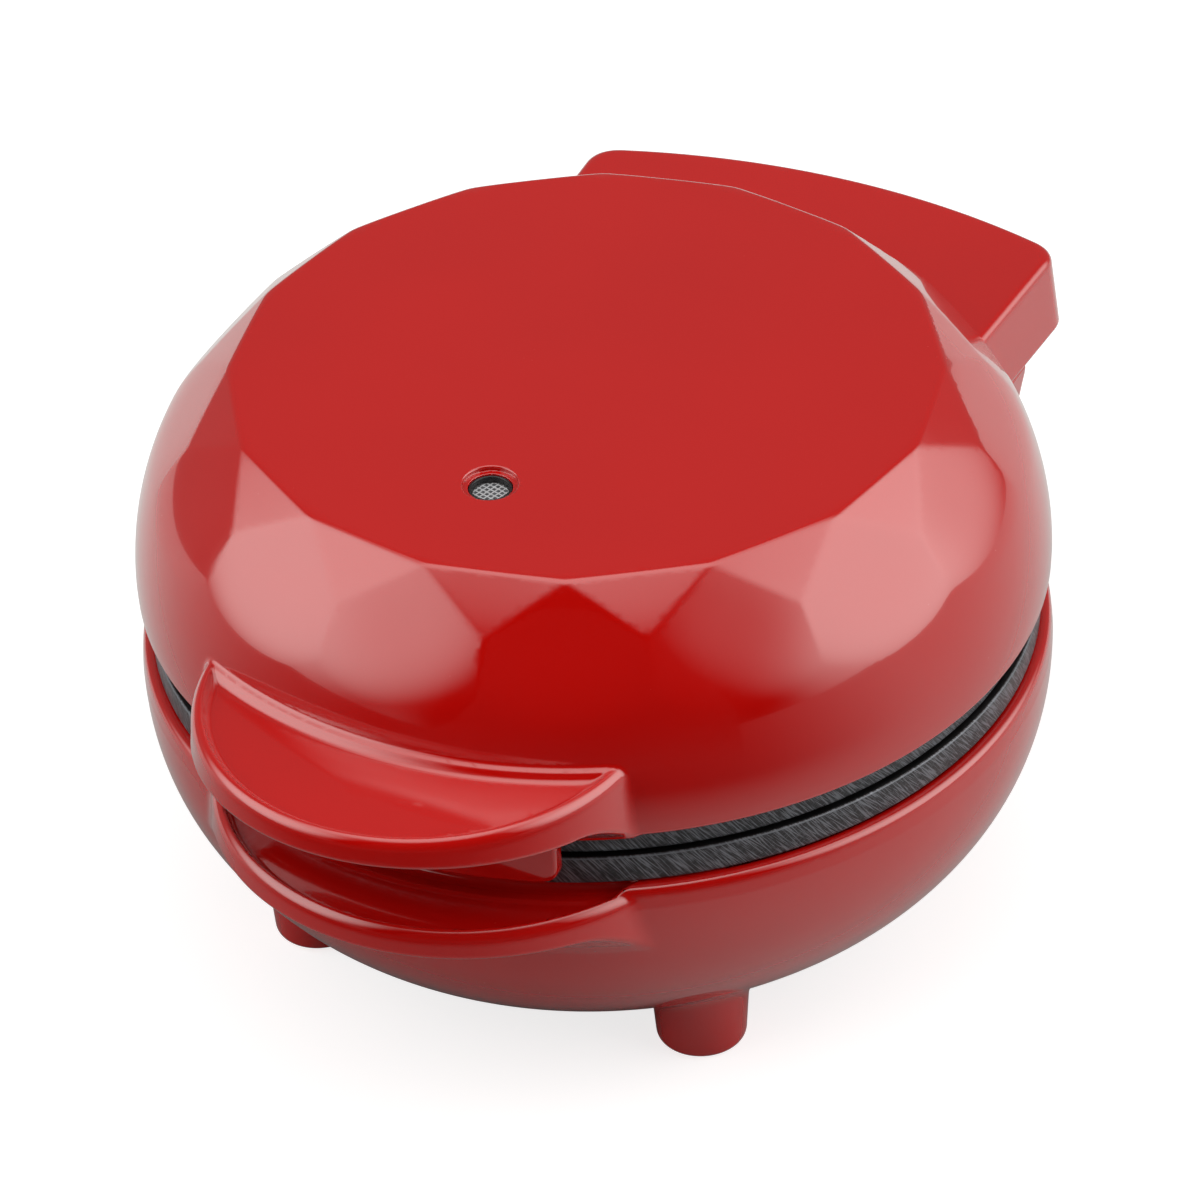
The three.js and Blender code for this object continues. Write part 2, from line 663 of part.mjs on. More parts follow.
function lidHousing() {
  const outer = [[0, lidRimZ], [lidRimRadius, lidRimZ], ...domeOutline(0, tableZ + overrun)];
  const dome = turned(outer).intersect(gemCrown());
  const handle = crescent({
    radius: lidHandleRadius,
    centre: lidHandleCentre,
    rootZ: lidRimZ,
    topZ: lidHandleTopZ,
    bodyRadius: lidRimRadius,
    coveOut: lidCoveOut,
    coveUp: lidCoveUp,
    rise: lidHandleRise,
    trayDepth: lidTrayDepth,
    trayBorder: lidTrayBorder,
  });
  const skirtInner = lowerPlateRadius + skirtGap;
  const skirtTopZ = lidRimZ + lidCoveUp + deepRoot;
  const skirtRing = turned([
    [skirtInner, skirtBottomZ],
    [skirtInner + skirtWall, skirtBottomZ],
    [skirtInner + skirtWall, skirtTopZ],
    [skirtInner, skirtTopZ],
  ]);
  const skirtSpan = block(-skirtHalfWidth, skirtHalfWidth, -frontReach, 0, 0, tableZ);
  const skirt = skirtRing.intersect(skirtSpan);
  const hollow = turned([
    [0, lidRimZ - overrun],
    [lidRimInner, lidRimZ - overrun],
    [lidRimInner, upperPartingZ + plateFlange + seatGap],
    ...domeOutline(shellWall, lidCeilingZ),
  ]);
  const recessZ = tableZ - lampRecess;
  const lampRecessCut = uprightRod(0, lampY, lampRecessRadius, recessZ, tableZ + overrun);
  const lampHole = uprightRod(0, lampY, lampHoleRadius, lidCeilingZ - overrun, tableZ + overrun);
  const slotX = sleeveX - ductHalfWidth;
  const wireSlot = block(
    slotX,
    sleeveX + ductHalfWidth,
    lidRimInner - shellWall - overrun,
    hingeY - barrelRadius,
    wireSlotFootZ,
    wireSlotTopZ,
  );
  const shell = without(joined([dome, handle, skirt, hoodBody()]), [
    hollow,
    hoodHollow(),
    lampRecessCut,
    lampHole,
    wireSlot,
  ]);
  const boreEnd = barrelHalfWidth + pinTail + 2 * seatGap;
  const bored = without(shell.add(hingeBosses()), hingeBores(barrelHalfWidth - overrun, boreEnd));
  return piece('lid_housing', joined([bored, ...lidPosts()]), redGloss);
}

// Base

function bowlBody() {
  const outer = [...bowlOutline(0), [bowlRimRadius, bowlRimZ], [0, bowlRimZ]];
  return turned(outer);
}

function footPeg(x, y) {
  const peg = turned([
    [0, footLift],
    [footRadius - footRound, footLift],
    [footRadius, footLift + footRound],
    [footTopRadius, footRootZ],
    [0, footRootZ],
  ], footSteps);
  const recess = uprightRod(0, 0, footPadRadius + seatGap, -overrun, footPadRecess + seatGap);
  return peg.subtract(recess).translate([x, y, 0]);
}

function footCentres() {
  return [
    [-footX, footFrontY],
    [footX, footFrontY],
    [footX, footRearY],
    [-footX, footRearY],
  ];
}

function hingeWeb() {
  const sideOutline = [
    [webFootY, webFootZ],
    [webRearY, webKneeZ],
    [webRearY, webShoulderZ],
    [hingeY, hingeZ],
    [hingeY - barrelRadius, hingeZ],
    [lidRimRadius + seatGap, webTopZ],
    [hoodFrontY, webTopZ],
    [hoodFrontY, webFootZ],
  ];
  const braceOutline = [
    [webFootY, wingFootZ],
    [webRearY, wingKneeZ],
    [webRearY, webTopZ],
    [hoodFrontY, webTopZ],
    [hoodFrontY, wingFootZ],
  ];
  const middle = drawnAcross(sideOutline, -barrelHalfWidth, barrelHalfWidth);
  const web = middle.add(drawnAcross(braceOutline, -wingHalfWidth, wingHalfWidth));
  const plateRoomRadius = lowerPlateRadius + webPlateGap;
  const plateRoom = uprightRod(0, 0, plateRoomRadius, bowlRimZ, tableZ, roundSteps);
  const knuckleGap = block(
    -barrelInner,
    barrelInner,
    webRearY,
    hoodRearY,
    webKneeZ - overrun,
    tableZ,
  );
  const frontGap = block(
    -barrelInner,
    barrelInner,
    hingeY - barrelRadius - overrun,
    hoodRearY,
    webTopZ,
    tableZ,
  );
  const barrel = crossRod(hingeY, hingeZ, barrelRadius, -barrelHalfWidth, barrelHalfWidth);
  return without(web.add(barrel), [plateRoom, knuckleGap, frontGap]);
}

function screwWell(angle) {
  const [x, y] = at(angle, wellRadius);
  const post = uprightRod(x, y, wellBore + wellWall, bowlFloorZ, wellRoofZ, footSteps);
  const bore = uprightRod(x, y, wellBore, -overrun, wellRoofZ - wellRoof, footSteps);
  const hole = uprightRod(x, y, boltHole, 0, wellRoofZ + overrun);
  return { post, cuts: [bore, hole] };
}

function baseHousing() {
  const handle = crescent({
    radius: baseHandleRadius,
    centre: baseHandleCentre,
    rootZ: baseHandleRootZ,
    topZ: baseHandleTopZ,
    bodyRadius: bowlRimRadius,
    coveOut: baseCoveOut,
    coveUp: baseCoveUp,
    rise: baseHandleRise,
    trayDepth: baseTrayDepth,
    trayBorder: baseTrayBorder,
  });
  const feet = footCentres().map(([x, y]) => footPeg(x, y));
  const inletBoss = lengthwiseRod(0, inletZ, inletBossRadius, inletBossRootY, inletFaceY, footSteps);
  const whole = joined([bowlBody(), handle, hingeWeb(), inletBoss, ...feet]);
  const hollow = turned([
    ...bowlOutline(shellWall),
    [bowlInnerRadius, bowlRimZ + overrun],
    [0, bowlRimZ + overrun],
  ]);
  const wells = screwAngles.map(screwWell);
  const insideBowl = turned([
    ...bowlOutline(shellWall / 2),
    [bowlInnerRadius, bowlRimZ],
    [0, bowlRimZ],
  ]);
  const posts = joined(wells.map((well) => well.post)).intersect(insideBowl);
  const pegs = [-1, 1].map((side) =>
    uprightRod(side * blockPegX, blockY, blockPegRadius, bowlFloorZ + deepRoot, blockPegZ),
  );
  const wireDuct = block(
    -sleeveX - ductHalfWidth,
    -sleeveX + ductHalfWidth,
    bowlInnerRadius - shellWall,
    ductRearY,
    ductFootZ,
    webTopZ + overrun,
  );
  const inletFromY = inletBossRootY - shellWall - overrun;
  const inletHole = lengthwiseRod(0, inletZ, glandNeck + seatGap, inletFromY, hoodRearY);
  const wellCuts = wells.flatMap((well) => well.cuts);
  const pinHoles = hingeBores(barrelHalfWidth - pinDepth - seatGap, barrelHalfWidth + overrun);
  const shell = joined([whole.subtract(hollow), posts, ...pegs]);
  const bored = without(shell, [wireDuct, inletHole, ...wellCuts, ...pinHoles]);
  return piece('base_housing', bored, redGloss);
}

function footPads() {
  const pads = footCentres().map(([x, y]) => uprightRod(x, y, footPadRadius, 0, footPadHeight - seatGap));
  return pieces('foot_pad', footPlaces, pads, rubber);
}

// Hinge pins

function hingePin(name, side) {
  const inner = barrelHalfWidth - pinDepth;
  const outer = barrelHalfWidth + pinTail + seatGap;
  const [fromX, toX] = side > 0 ? [inner, outer] : [-outer, -inner];
  return piece(name, crossRod(hingeY, hingeZ, pinRadius, fromX, toX), steel);
}

// Cooking plates: made for the base with the parting plane at zero, cavity side up

function waffleGrid() {
  const reach = cavityRadius;
  const ridgeOutline = [
    [-ridgeFootWidth / 2, -cavityDepth - plateFloor / 2],
    [ridgeFootWidth / 2, -cavityDepth - plateFloor / 2],
    [ridgeFootWidth / 2, -cavityDepth],
    [ridgeTopWidth / 2, -ridgeTopDrop],
    [-ridgeTopWidth / 2, -ridgeTopDrop],
    [-ridgeFootWidth / 2, -cavityDepth],
  ];
  const ridges = [];
  for (let i = -gridRidgesPerSide; i <= gridRidgesPerSide; i += 1) {
    const ridge = drawnAcross(ridgeOutline, -reach, reach);
    ridges.push(ridge.translate([0, i * gridPitch, 0]));
    ridges.push(ridge.rotate([0, 0, 90]).translate([i * gridPitch, 0, 0]));
  }
  const middleRadius = cavityRadius - cavityDraft / 2;
  const round = uprightRod(0, 0, middleRadius, -panDepth, overrun, plateSteps);
  return joined(ridges).intersect(round);
}

function plateBlank(radius) {
  return turned([
    [0, -cavityDepth],
    [cavityRadius - cavityDraft, -cavityDepth],
    [cavityRadius, 0],
    [radius, 0],
    [radius, -plateFlange],
    [cavityRadius + panWall, -plateFlange],
    [cavityRadius + panWall - cavityDraft, -panDepth],
    [0, -panDepth],
  ], plateSteps);
}

function backBoss(angle, circle, length) {
  const [x, y] = at(angle, circle);
  const farZ = -panDepth - length;
  const boss = uprightRod(x, y, bossRadius, farZ, -panDepth + deepRoot);
  const pilot = uprightRod(x, y, boltHole, farZ - overrun, farZ + screwBite + seatGap);
  return boss.subtract(pilot);
}

function cookingPlate(radius, outerBosses) {
  const bossLength = clampDrop - seatGap;
  const clampBosses = screwAngles.map((angle) => backBoss(angle, clampScrewRadius, bossLength));
  return joined([plateBlank(radius), waffleGrid(), ...clampBosses, ...outerBosses]);
}

function lowerCookingPlate() {
  const bossLength = lowerBackZ - wellRoofZ - seatGap;
  const bosses = screwAngles.map((angle) => backBoss(angle, wellRadius, bossLength));
  const plate = cookingPlate(lowerPlateRadius, bosses).translate([0, 0, partingZ]);
  return piece('lower_cooking_plate', plate, plateCoat);
}

function clipBoss(angle) {
  const [x, y] = at(angle, clipCircle);
  return uprightRod(x, y, bossRadius, -panDepth - clampDrop, -panDepth + deepRoot);
}

// Turns a solid that hangs under the lower plate over, onto the back of the upper one
function turnedOver(shape) {
  return shape.mirror([0, 0, 1]);
}

function upperCookingPlate() {
  const bosses = clipAngles.map(clipBoss);
  const plate = turnedOver(cookingPlate(upperPlateRadius, bosses));
  return piece('upper_cooking_plate', plate.translate([0, 0, upperPartingZ]), plateCoat);
}

// Heating element: an open ring with both ends bent away from the plate's back

function ringEnds() {
  return [-1, 1].map((side) => at(90 + side * ringGapDegrees, ringRadius));
}

function heatingElement(studLength) {
  const points = [];
  const arcSteps = 14;
  const sweep = 360 - 2 * ringGapDegrees;
  const bendDegrees = THREE.MathUtils.radToDeg(tubeBend / ringRadius);
  const [endB, endA] = ringEnds();
  points.push([...endA, -tubeLeg], [...endA, -tubeBend]);
  for (let i = 0; i <= arcSteps; i += 1) {
    const share = i / arcSteps;
    const angle = 90 - ringGapDegrees - bendDegrees - (sweep - 2 * bendDegrees) * share;
    points.push([...at(angle, ringRadius), 0]);
  }
  points.push([...endB, -tubeBend], [...endB, -tubeLeg]);
  const sheath = tube(points, tubeRadius, 2 * arcSteps + 8);
  const studs = ringEnds().map(([x, y]) =>
    uprightRod(x, y, terminalRadius, -tubeLeg - studLength, -tubeLeg + deepRoot, tubeSides),
  );
  return joined([sheath, ...studs]).translate([0, 0, -ringDrop]);
}

function lowerHeatingElement() {
  const element = heatingElement(terminalLength).translate([0, 0, lowerBackZ]);
  return piece('lower_heating_element', element, heaterSheath);
}

function upperHeatingElement() {
  const element = turnedOver(heatingElement(upperTerminalLength)).translate([0, 0, upperBackZ]);
  return piece('upper_heating_element', element, heaterSheath);
}

function terminalBeads() {
  return ringEnds().map(([x, y]) => {
    const ring = turned([
      [terminalRadius + seatGap, 0],
      [beadRadius, 0],
      [beadRadius, beadHeight],
      [terminalRadius + seatGap, beadHeight],
    ], smallSteps);
    return ring.translate([x, y, -ringDrop - tubeLeg - seatGap - beadHeight]);
  });
}

function lowerTerminalBeads() {
  const beads = terminalBeads().map((bead) => bead.translate([0, 0, lowerBackZ]));
  return pieces('lower_terminal_bead', endPlaces, beads, ceramic);
}

function upperTerminalBeads() {
  const beads = terminalBeads().map((bead) => turnedOver(bead).translate([0, 0, upperBackZ]));
  return pieces('upper_terminal_bead', endPlaces, beads, ceramic);
}

// Element clamp: a pressed ring that holds the element against the plate's back

function elementClamp() {
  const ring = turned([
    [clampInner, -clampFarDrop],
    [clampOuter, -clampFarDrop],
    [clampOuter, -clampDrop],
    [clampInner, -clampDrop],
  ], plateSteps);
  const reach = clampOuter + overrun;
  const notch = block(
    -clampNotchHalfWidth,
    clampNotchHalfWidth,
    clampNotchY,
    reach,
    clampUnderZ,
    clampTopZ,
  );
  const holes = screwHoles(screwAngles, clampScrewRadius, clampUnderZ, clampTopZ);
  return without(ring, [notch, ...holes]);
}

// Heat shield: a thin dish with a turned lip

function heatShield(radius) {
  return turned([
    [0, -shieldSheet],
    [radius, -shieldSheet],
    [radius, shieldLip],
    [radius - shieldSheet, shieldLip],
    [radius - shieldSheet, 0],
    [0, 0],
  ], plateSteps);
}

function screwHoles(angles, circle, fromZ, toZ) {
  return angles.map((angle) => {
    const [x, y] = at(angle, circle);
    return uprightRod(x, y, boltHole, fromZ, toZ);
  });
}

function terminalNotch(reach) {
  return block(
    -clampNotchHalfWidth,
    clampNotchHalfWidth,
    shieldNotchY,
    reach,
    -shieldLip - overrun,
    shieldLip + overrun,
  );
}

function lowerHeatShield() {
  const dish = heatShield(lowerShieldRadius);
  const holes = screwHoles(screwAngles, clampScrewRadius, -shieldLip, shieldLip);
  const port = uprightRod(0, 0, shieldPort, -shieldLip, shieldLip, footSteps);
  const notch = terminalNotch(lowerShieldRadius + overrun);
  const shield = without(dish, [...holes, port, notch]);
  const seated = shield.translate([0, 0, lowerBackZ - lowerShieldDrop]);
  return piece('lower_heat_shield', seated, shieldSheen);
}

function upperHeatShield() {
  const dish = heatShield(upperShieldRadius);
  const holes = screwHoles(screwAngles, postCircle, -shieldLip, shieldLip);
  const slots = clipAngles.map((angle) => {
    const reach = clipBarb + clipSheet + clipSlotGap;
    const side = clipWidth / 2 + clipSlotGap;
    const slot = block(-reach, reach, -side, side, -shieldLip, shieldLip);
    return slot.rotate([0, 0, angle]).translate([...at(angle, clipCircle), 0]);
  });
  const notch = block(
    -clampNotchHalfWidth,
    clampNotchHalfWidth,
    shieldNotchY,
    clipCircle - bossRadius - clipSlotGap,
    -overrun,
    overrun,
  );
  const shield = without(dish, [...holes, ...slots, notch]);
  const seated = turnedOver(shield).translate([0, 0, upperShieldZ]);
  return piece('upper_heat_shield', seated, shieldSheen);
}

// Fasteners

function screw(bite) {
  const shank = uprightRod(0, 0, screwRadius, -deepRoot, bite);
  const head = uprightRod(0, 0, screwHeadRadius, -screwHead, 0);
  const slotReach = screwHeadRadius + overrun;
  const slotHalf = screwSlotWidth / 2;
  const slotTop = -screwHead + screwSlotDepth;
  const slot = block(-slotReach, slotReach, -slotHalf, slotHalf, -screwHead - overrun, slotTop);
  return shank.add(head).subtract(slot);
}

function screwsAt(angles, circle, bite, seatZ) {
  return angles.map((angle) => {
    const [x, y] = at(angle, circle);
    return screw(bite).rotate([0, 0, angle]).translate([x, y, seatZ]);
  });
}

function lowerPlateScrews() {
  const headZ = lowerBackZ - lowerShieldDrop - shieldSheet - seatGap;
  const bite = lowerShieldDrop + shieldSheet - clampDrop + screwBite;
  const screws = screwsAt(screwAngles, clampScrewRadius, bite, headZ);
  return pieces('lower_plate_screw', screwPlaces, screws, steel);
}

function baseHousingScrews() {
  const headZ = wellRoofZ - wellRoof - seatGap;
  const bite = wellRoof + 2 * seatGap + screwBite;
  const screws = screwsAt(screwAngles, wellRadius, bite, headZ);
  return pieces('base_housing_screw', screwPlaces, screws, steel);
}

function upperClampScrews() {
  const headZ = clampFarDrop + seatGap;
  const bite = sheetSteel + seatGap + screwBite;
  const screws = screwsAt(screwAngles, clampScrewRadius, bite, -headZ);
  const turnedScrews = screws.map((one) => turnedOver(one).translate([0, 0, upperBackZ]));
  return pieces('upper_clamp_screw', screwPlaces, turnedScrews, steel);
}

function upperShieldScrews() {
  const headZ = upperShieldZ - seatGap;
  const bite = shieldSheet + 2 * seatGap + screwBite;
  const screws = screwsAt(screwAngles, postCircle, bite, headZ);
  return pieces('upper_shield_screw', screwPlaces, screws, steel);
}

function lowerShieldSpacers() {
  const topZ = lowerBackZ - clampFarDrop - seatGap;
  const spacers = screwAngles.map((angle) => {
    const ring = turned([
      [boltHole, topZ - spacerHeight],
      [boltHole + spacerWall, topZ - spacerHeight],
      [boltHole + spacerWall, topZ],
      [boltHole, topZ],
    ], smallSteps);
    return ring.translate([...at(angle, clampScrewRadius), 0]);
  });
  return pieces('lower_shield_spacer', screwPlaces, spacers, steel);
}

// Spring clips on the upper plate's bosses that snap through slots in its shield
function upperPlateClips() {
  const footZ = upperBackZ + clampDrop + seatGap;
  const barbZ = upperShieldZ + shieldSheet + seatGap;
  const half = clipSheet + clipBarb;
  const clips = clipAngles.map((angle) => {
    const outline = [
      [-bossRadius, footZ],
      [bossRadius, footZ],
      [bossRadius, footZ + clipSheet],
      [clipSheet, footZ + clipSheet],
      [clipSheet, barbZ],
      [half, barbZ],
      [clipSheet, barbZ + clipHead],
      [-clipSheet, barbZ + clipHead],
      [-half, barbZ],
      [-clipSheet, barbZ],
      [-clipSheet, footZ + clipSheet],
      [-bossRadius, footZ + clipSheet],
    ];
    const clip = drawnAcross(outline, -clipWidth / 2, clipWidth / 2);
    return clip.rotate([0, 0, angle - 90]).translate([...at(angle, clipCircle), 0]);
  });
  return pieces('upper_plate_clip', clipPlaces, clips, steel);
}

// Controls

function thermostat() {
  const topZ = lowerBackZ - seatGap;
  const body = uprightRod(0, 0, thermostatRadius, topZ - thermostatHeight, topZ, footSteps);
  const tabs = [-1, 1].map((side) =>
    block(
      -thermostatTabWidth / 2,
      thermostatTabWidth / 2,
      side * thermostatTabSpacing - shieldSheet / 2,
      side * thermostatTabSpacing + shieldSheet / 2,
      topZ - thermostatHeight - thermostatTab,
      topZ - thermostatHeight + deepRoot,
    ),
  );
  return piece('thermostat', joined([body, ...tabs]), ceramic);
}

// Hat-shaped strap that presses the thermostat against the plate
function thermostatBracket() {
  const flangeZ = bracketFlangeZ;
  const strapZ = lowerBackZ - 2 * seatGap - thermostatHeight;
  const wingX = bracketHalfLength - bracketFlange;
  const half = [
    [bracketHalfLength, flangeZ],
    [wingX, flangeZ],
    [wingX, strapZ],
  ];
  const lower = [
    [wingX + sheetSteel, strapZ - sheetSteel],
    [wingX + sheetSteel, flangeZ - sheetSteel],
    [bracketHalfLength, flangeZ - sheetSteel],
  ];
  const mirrored = (points) => points.map(([x, z]) => [-x, z]).reverse();
  const outline = [...half, ...mirrored(half), ...mirrored(lower), ...lower];
  const strap = drawnAcross(outline, -bracketWidth / 2, bracketWidth / 2).rotate([0, 0, 90]);
  const holes = [-1, 1].map((side) =>
    uprightRod(side * bracketHoleX, 0, smallHole, flangeZ - overrun, flangeZ + overrun),
  );
  return piece('thermostat_bracket', without(strap, holes), steel);
}

function bracketScrews() {
  const headZ = bracketFlangeZ - sheetSteel - seatGap;
  const tipZ = lowerBackZ - clampDrop + seatGap;
  const screws = [-1, 1].map((side) => {
    const x = side * bracketHoleX;
    const shank = uprightRod(x, 0, smallScrewRadius, headZ - smallHead / 2, tipZ);
    const head = uprightRod(x, 0, smallHeadRadius, headZ - smallHead, headZ);
    return shank.add(head);
  });
  return pieces('thermostat_screw', ['left', 'right'], screws, steel);
}

function lowerElementClamp() {
  const holes = [-1, 1].map((side) =>
    uprightRod(side * bracketHoleX, 0, smallHole, clampUnderZ, clampTopZ),
  );
  const clamp = without(elementClamp(), holes).translate([0, 0, lowerBackZ]);
  return piece('lower_element_clamp', clamp, steel);
}

function upperElementClamp() {
  const clamp = turnedOver(elementClamp()).translate([0, 0, upperBackZ]);
  return piece('upper_element_clamp', clamp, steel);
}

function thermalFuse() {
  const rod = lengthwiseRod(fuseX, fuseZ, fuseRadius, fuseY, fuseY + fuseLength);
  return piece('thermal_fuse', rod, whitePlastic);
}

// Sprung saddle that carries the fuse under the heat shield
function fuseClip() {
  const middleY = fuseY + fuseLength / 2;
  const fromY = middleY - fuseClipWidth / 2;
  const toY = middleY + fuseClipWidth / 2;
  const saddle = lengthwiseRod(fuseX, fuseZ, fuseClipRadius, fromY, toY);
  const foot = block(fuseX - fuseClipRadius, fuseX + fuseClipRadius, fromY, toY, fuseZ, fuseClipZ);
  const bore = lengthwiseRod(fuseX, fuseZ, fuseRadius + seatGap, fromY - overrun, toY + overrun);
  return piece('thermal_fuse_clip', saddle.add(foot).subtract(bore), steel);
}

function blockWellPlaces() {
  const places = [];
  for (let i = 0; i < blockWells; i += 1) {
    places.push((blockWidth * (i + 0.5)) / blockWells - blockWidth / 2);
  }
  return places;
}

function terminalBlock() {
  const [frontY, rearY] = [blockY - blockDepth / 2, blockY + blockDepth / 2];
  const body = block(-blockWidth / 2, blockWidth / 2, frontY, rearY, blockFootZ, blockTopZ);
  const wells = blockWellPlaces().map((x) =>
    uprightRod(x, blockY, blockWellRadius, blockTopZ - blockWellDepth, blockTopZ + overrun),
  );
  return piece('terminal_block', without(body, wells), whitePlastic);
}

function terminalBlockScrews() {
  const radius = blockWellRadius - seatGap;
  const slotHalf = screwSlotWidth / 2;
  const slotZ = blockTopZ - seatGap - screwSlotDepth;
  const screws = blockWellPlaces().map((x) => {
    const head = uprightRod(x, blockY, radius, blockTopZ - blockWellDepth + seatGap, blockTopZ - seatGap);
    const slot = block(
      x - radius - overrun,
      x + radius + overrun,
      blockY - slotHalf,
      blockY + slotHalf,
      slotZ,
      blockTopZ + overrun,
    );
    return head.subtract(slot);
  });
  return pieces('terminal_block_screw', ['left', 'middle', 'right'], screws, steel);
}

function cordInletGland() {
  const innerFaceY = bowlInnerAt(inletZ) - seatGap;
  const flangeY = inletFaceY + seatGap;
  const gland = turned([
    [glandBore, innerFaceY - glandLipDepth],
    [glandLipRadius, innerFaceY - glandLipDepth],
    [glandLipRadius, innerFaceY],
    [glandNeck, innerFaceY],
    [glandNeck, flangeY],
    [glandFlange, flangeY],
    [glandFlange, flangeY + glandFlangeDepth],
    [glandBore, flangeY + glandFlangeDepth],
  ], footSteps);
  const seated = gland.rotate([-90, 0, 0]).translate([0, 0, inletZ]);
  return piece('cord_inlet_gland', seated, rubber);
}

// Radius of the bowl's inner face at a lower edge of the inlet
function bowlInnerAt(z) {
  const outline = bowlOutline(shellWall);
  const height = z - glandLipRadius;
  let radius = bowlFloorRadius;
  for (let i = 1; i < outline.length - 1; i += 1) {
    const [r, low] = outline[i];
    const [nextR, high] = outline[i + 1];
    const share = (height - low) / (high - low);
    if (share >= 0 && share <= 1) radius = r + (nextR - r) * share;
  }
  return Math.sqrt(radius ** 2 - glandLipRadius ** 2);
}

// Wire sleeves: they meet on the hinge's axis and run along it, so the lid can turn

function baseWireSleeve() {
  const ductY = ductRearY - seatGap - sleeveRadius;
  const route = [
    [-sleeveX, sleeveStartY, sleeveStartZ],
    [-sleeveX, bowlInnerRadius, sleeveBendZ],
    [-sleeveX, ductY, bowlRimZ],
    [-sleeveX, ductY, webShoulderZ],
    [-sleeveX, ductY, webTopZ + seatGap],
    [-sleeveX, hingeY - barrelRadius, hingeZ],
    [-sleeveX / 2, hingeY - seatGap, hingeZ],
    [-seatGap / 2, hingeY, hingeZ],
  ];
  return piece('base_wire_sleeve', tube(route, sleeveRadius, 26), glassFibre);
}

function lidWireSleeve() {
  const slotZ = (wireSlotFootZ + wireSlotTopZ) / 2;
  const wallY = lidRimRadius - shellWall;
  const route = [
    [seatGap / 2, hingeY, hingeZ],
    [sleeveX / 2, hingeY - seatGap, hingeZ],
    [sleeveX, hingeY - barrelRadius, slotZ],
    [sleeveX, wallY, slotZ],
    [sleeveX, wallY - 2 * overrun, slotZ + overrun],
  ];
  return piece('lid_wire_sleeve', tube(route, sleeveRadius, 20), glassFibre);
}

// Indicator

function indicatorLens() {
  const topZ = tableZ - lensDrop;
  const flangeZ = lidCeilingZ - seatGap;
  const stem = uprightRod(0, lampY, lampHoleRadius - seatGap, flangeZ - lensFlange, topZ);
  const flange = uprightRod(0, lampY, lensFlangeRadius, flangeZ - lensFlange, flangeZ);
  return piece('indicator_lens', stem.add(flange), lensGrey);
}

function indicatorLamp() {
  const topZ = lidCeilingZ - 2 * seatGap - lensFlange;
  const steps = 6;
  const outline = [[0, topZ - lampLength], [lampRadius, topZ - lampLength]];
  for (let i = 0; i < steps; i += 1) {
    const turn = (Math.PI / 2) * (i / steps);
    outline.push([lampRadius * Math.cos(turn), topZ - lampRadius + lampRadius * Math.sin(turn)]);
  }
  outline.push([0, topZ]);
  return piece('indicator_lamp', turned(outline, smallSteps).translate([0, lampY, 0]), glass);
}

function lampHolder() {
  const topZ = lidCeilingZ - seatGap;
  const bore = lensFlangeRadius + seatGap;
  const footZ = topZ - holderDepth;
  const cup = uprightRod(0, lampY, bore + holderWall, footZ, topZ, footSteps);
  const room = uprightRod(0, lampY, bore, footZ + holderWall, topZ + overrun, footSteps);
  const leadHole = uprightRod(0, lampY, lampRadius / 2, footZ - overrun, topZ);
  return piece('lamp_holder', without(cup, [room, leadHole]), blackPlastic);
}

// Assembly

const base = new THREE.Group();
base.add(
  baseHousing(),
  ...footPads(),
  hingePin('hinge_pin_right', 1),
  hingePin('hinge_pin_left', -1),
  lowerCookingPlate(),
  lowerHeatingElement(),
  ...lowerTerminalBeads(),
  lowerElementClamp(),
  ...lowerShieldSpacers(),
  lowerHeatShield(),
  ...lowerPlateScrews(),
  ...baseHousingScrews(),
  thermostat(),
  thermostatBracket(),
  ...bracketScrews(),
  thermalFuse(),
  fuseClip(),
  terminalBlock(),
  ...terminalBlockScrews(),
  cordInletGland(),
  baseWireSleeve(),
);

const lid = new THREE.Group();
lid.add(
  lidHousing(),
  indicatorLens(),
  indicatorLamp(),
  lampHolder(),
  upperCookingPlate(),
  upperHeatingElement(),
  ...upperTerminalBeads(),
  upperElementClamp(),
  ...upperClampScrews(),
  upperHeatShield(),
  ...upperShieldScrews(),
  ...upperPlateClips(),
  lidWireSleeve(),
);

const waffleMaker = new THREE.Group();
waffleMaker.add(base, lid);
waffleMaker.position.y = (frontReach - hoodRearY) / 2;

export default waffleMaker;
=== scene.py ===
"""Mini waffle maker: a round cooker with a cut-gem lid, dressed for its studio picture."""

import json
import math

import bpy
import numpy as np
from mathutils import Matrix, Vector


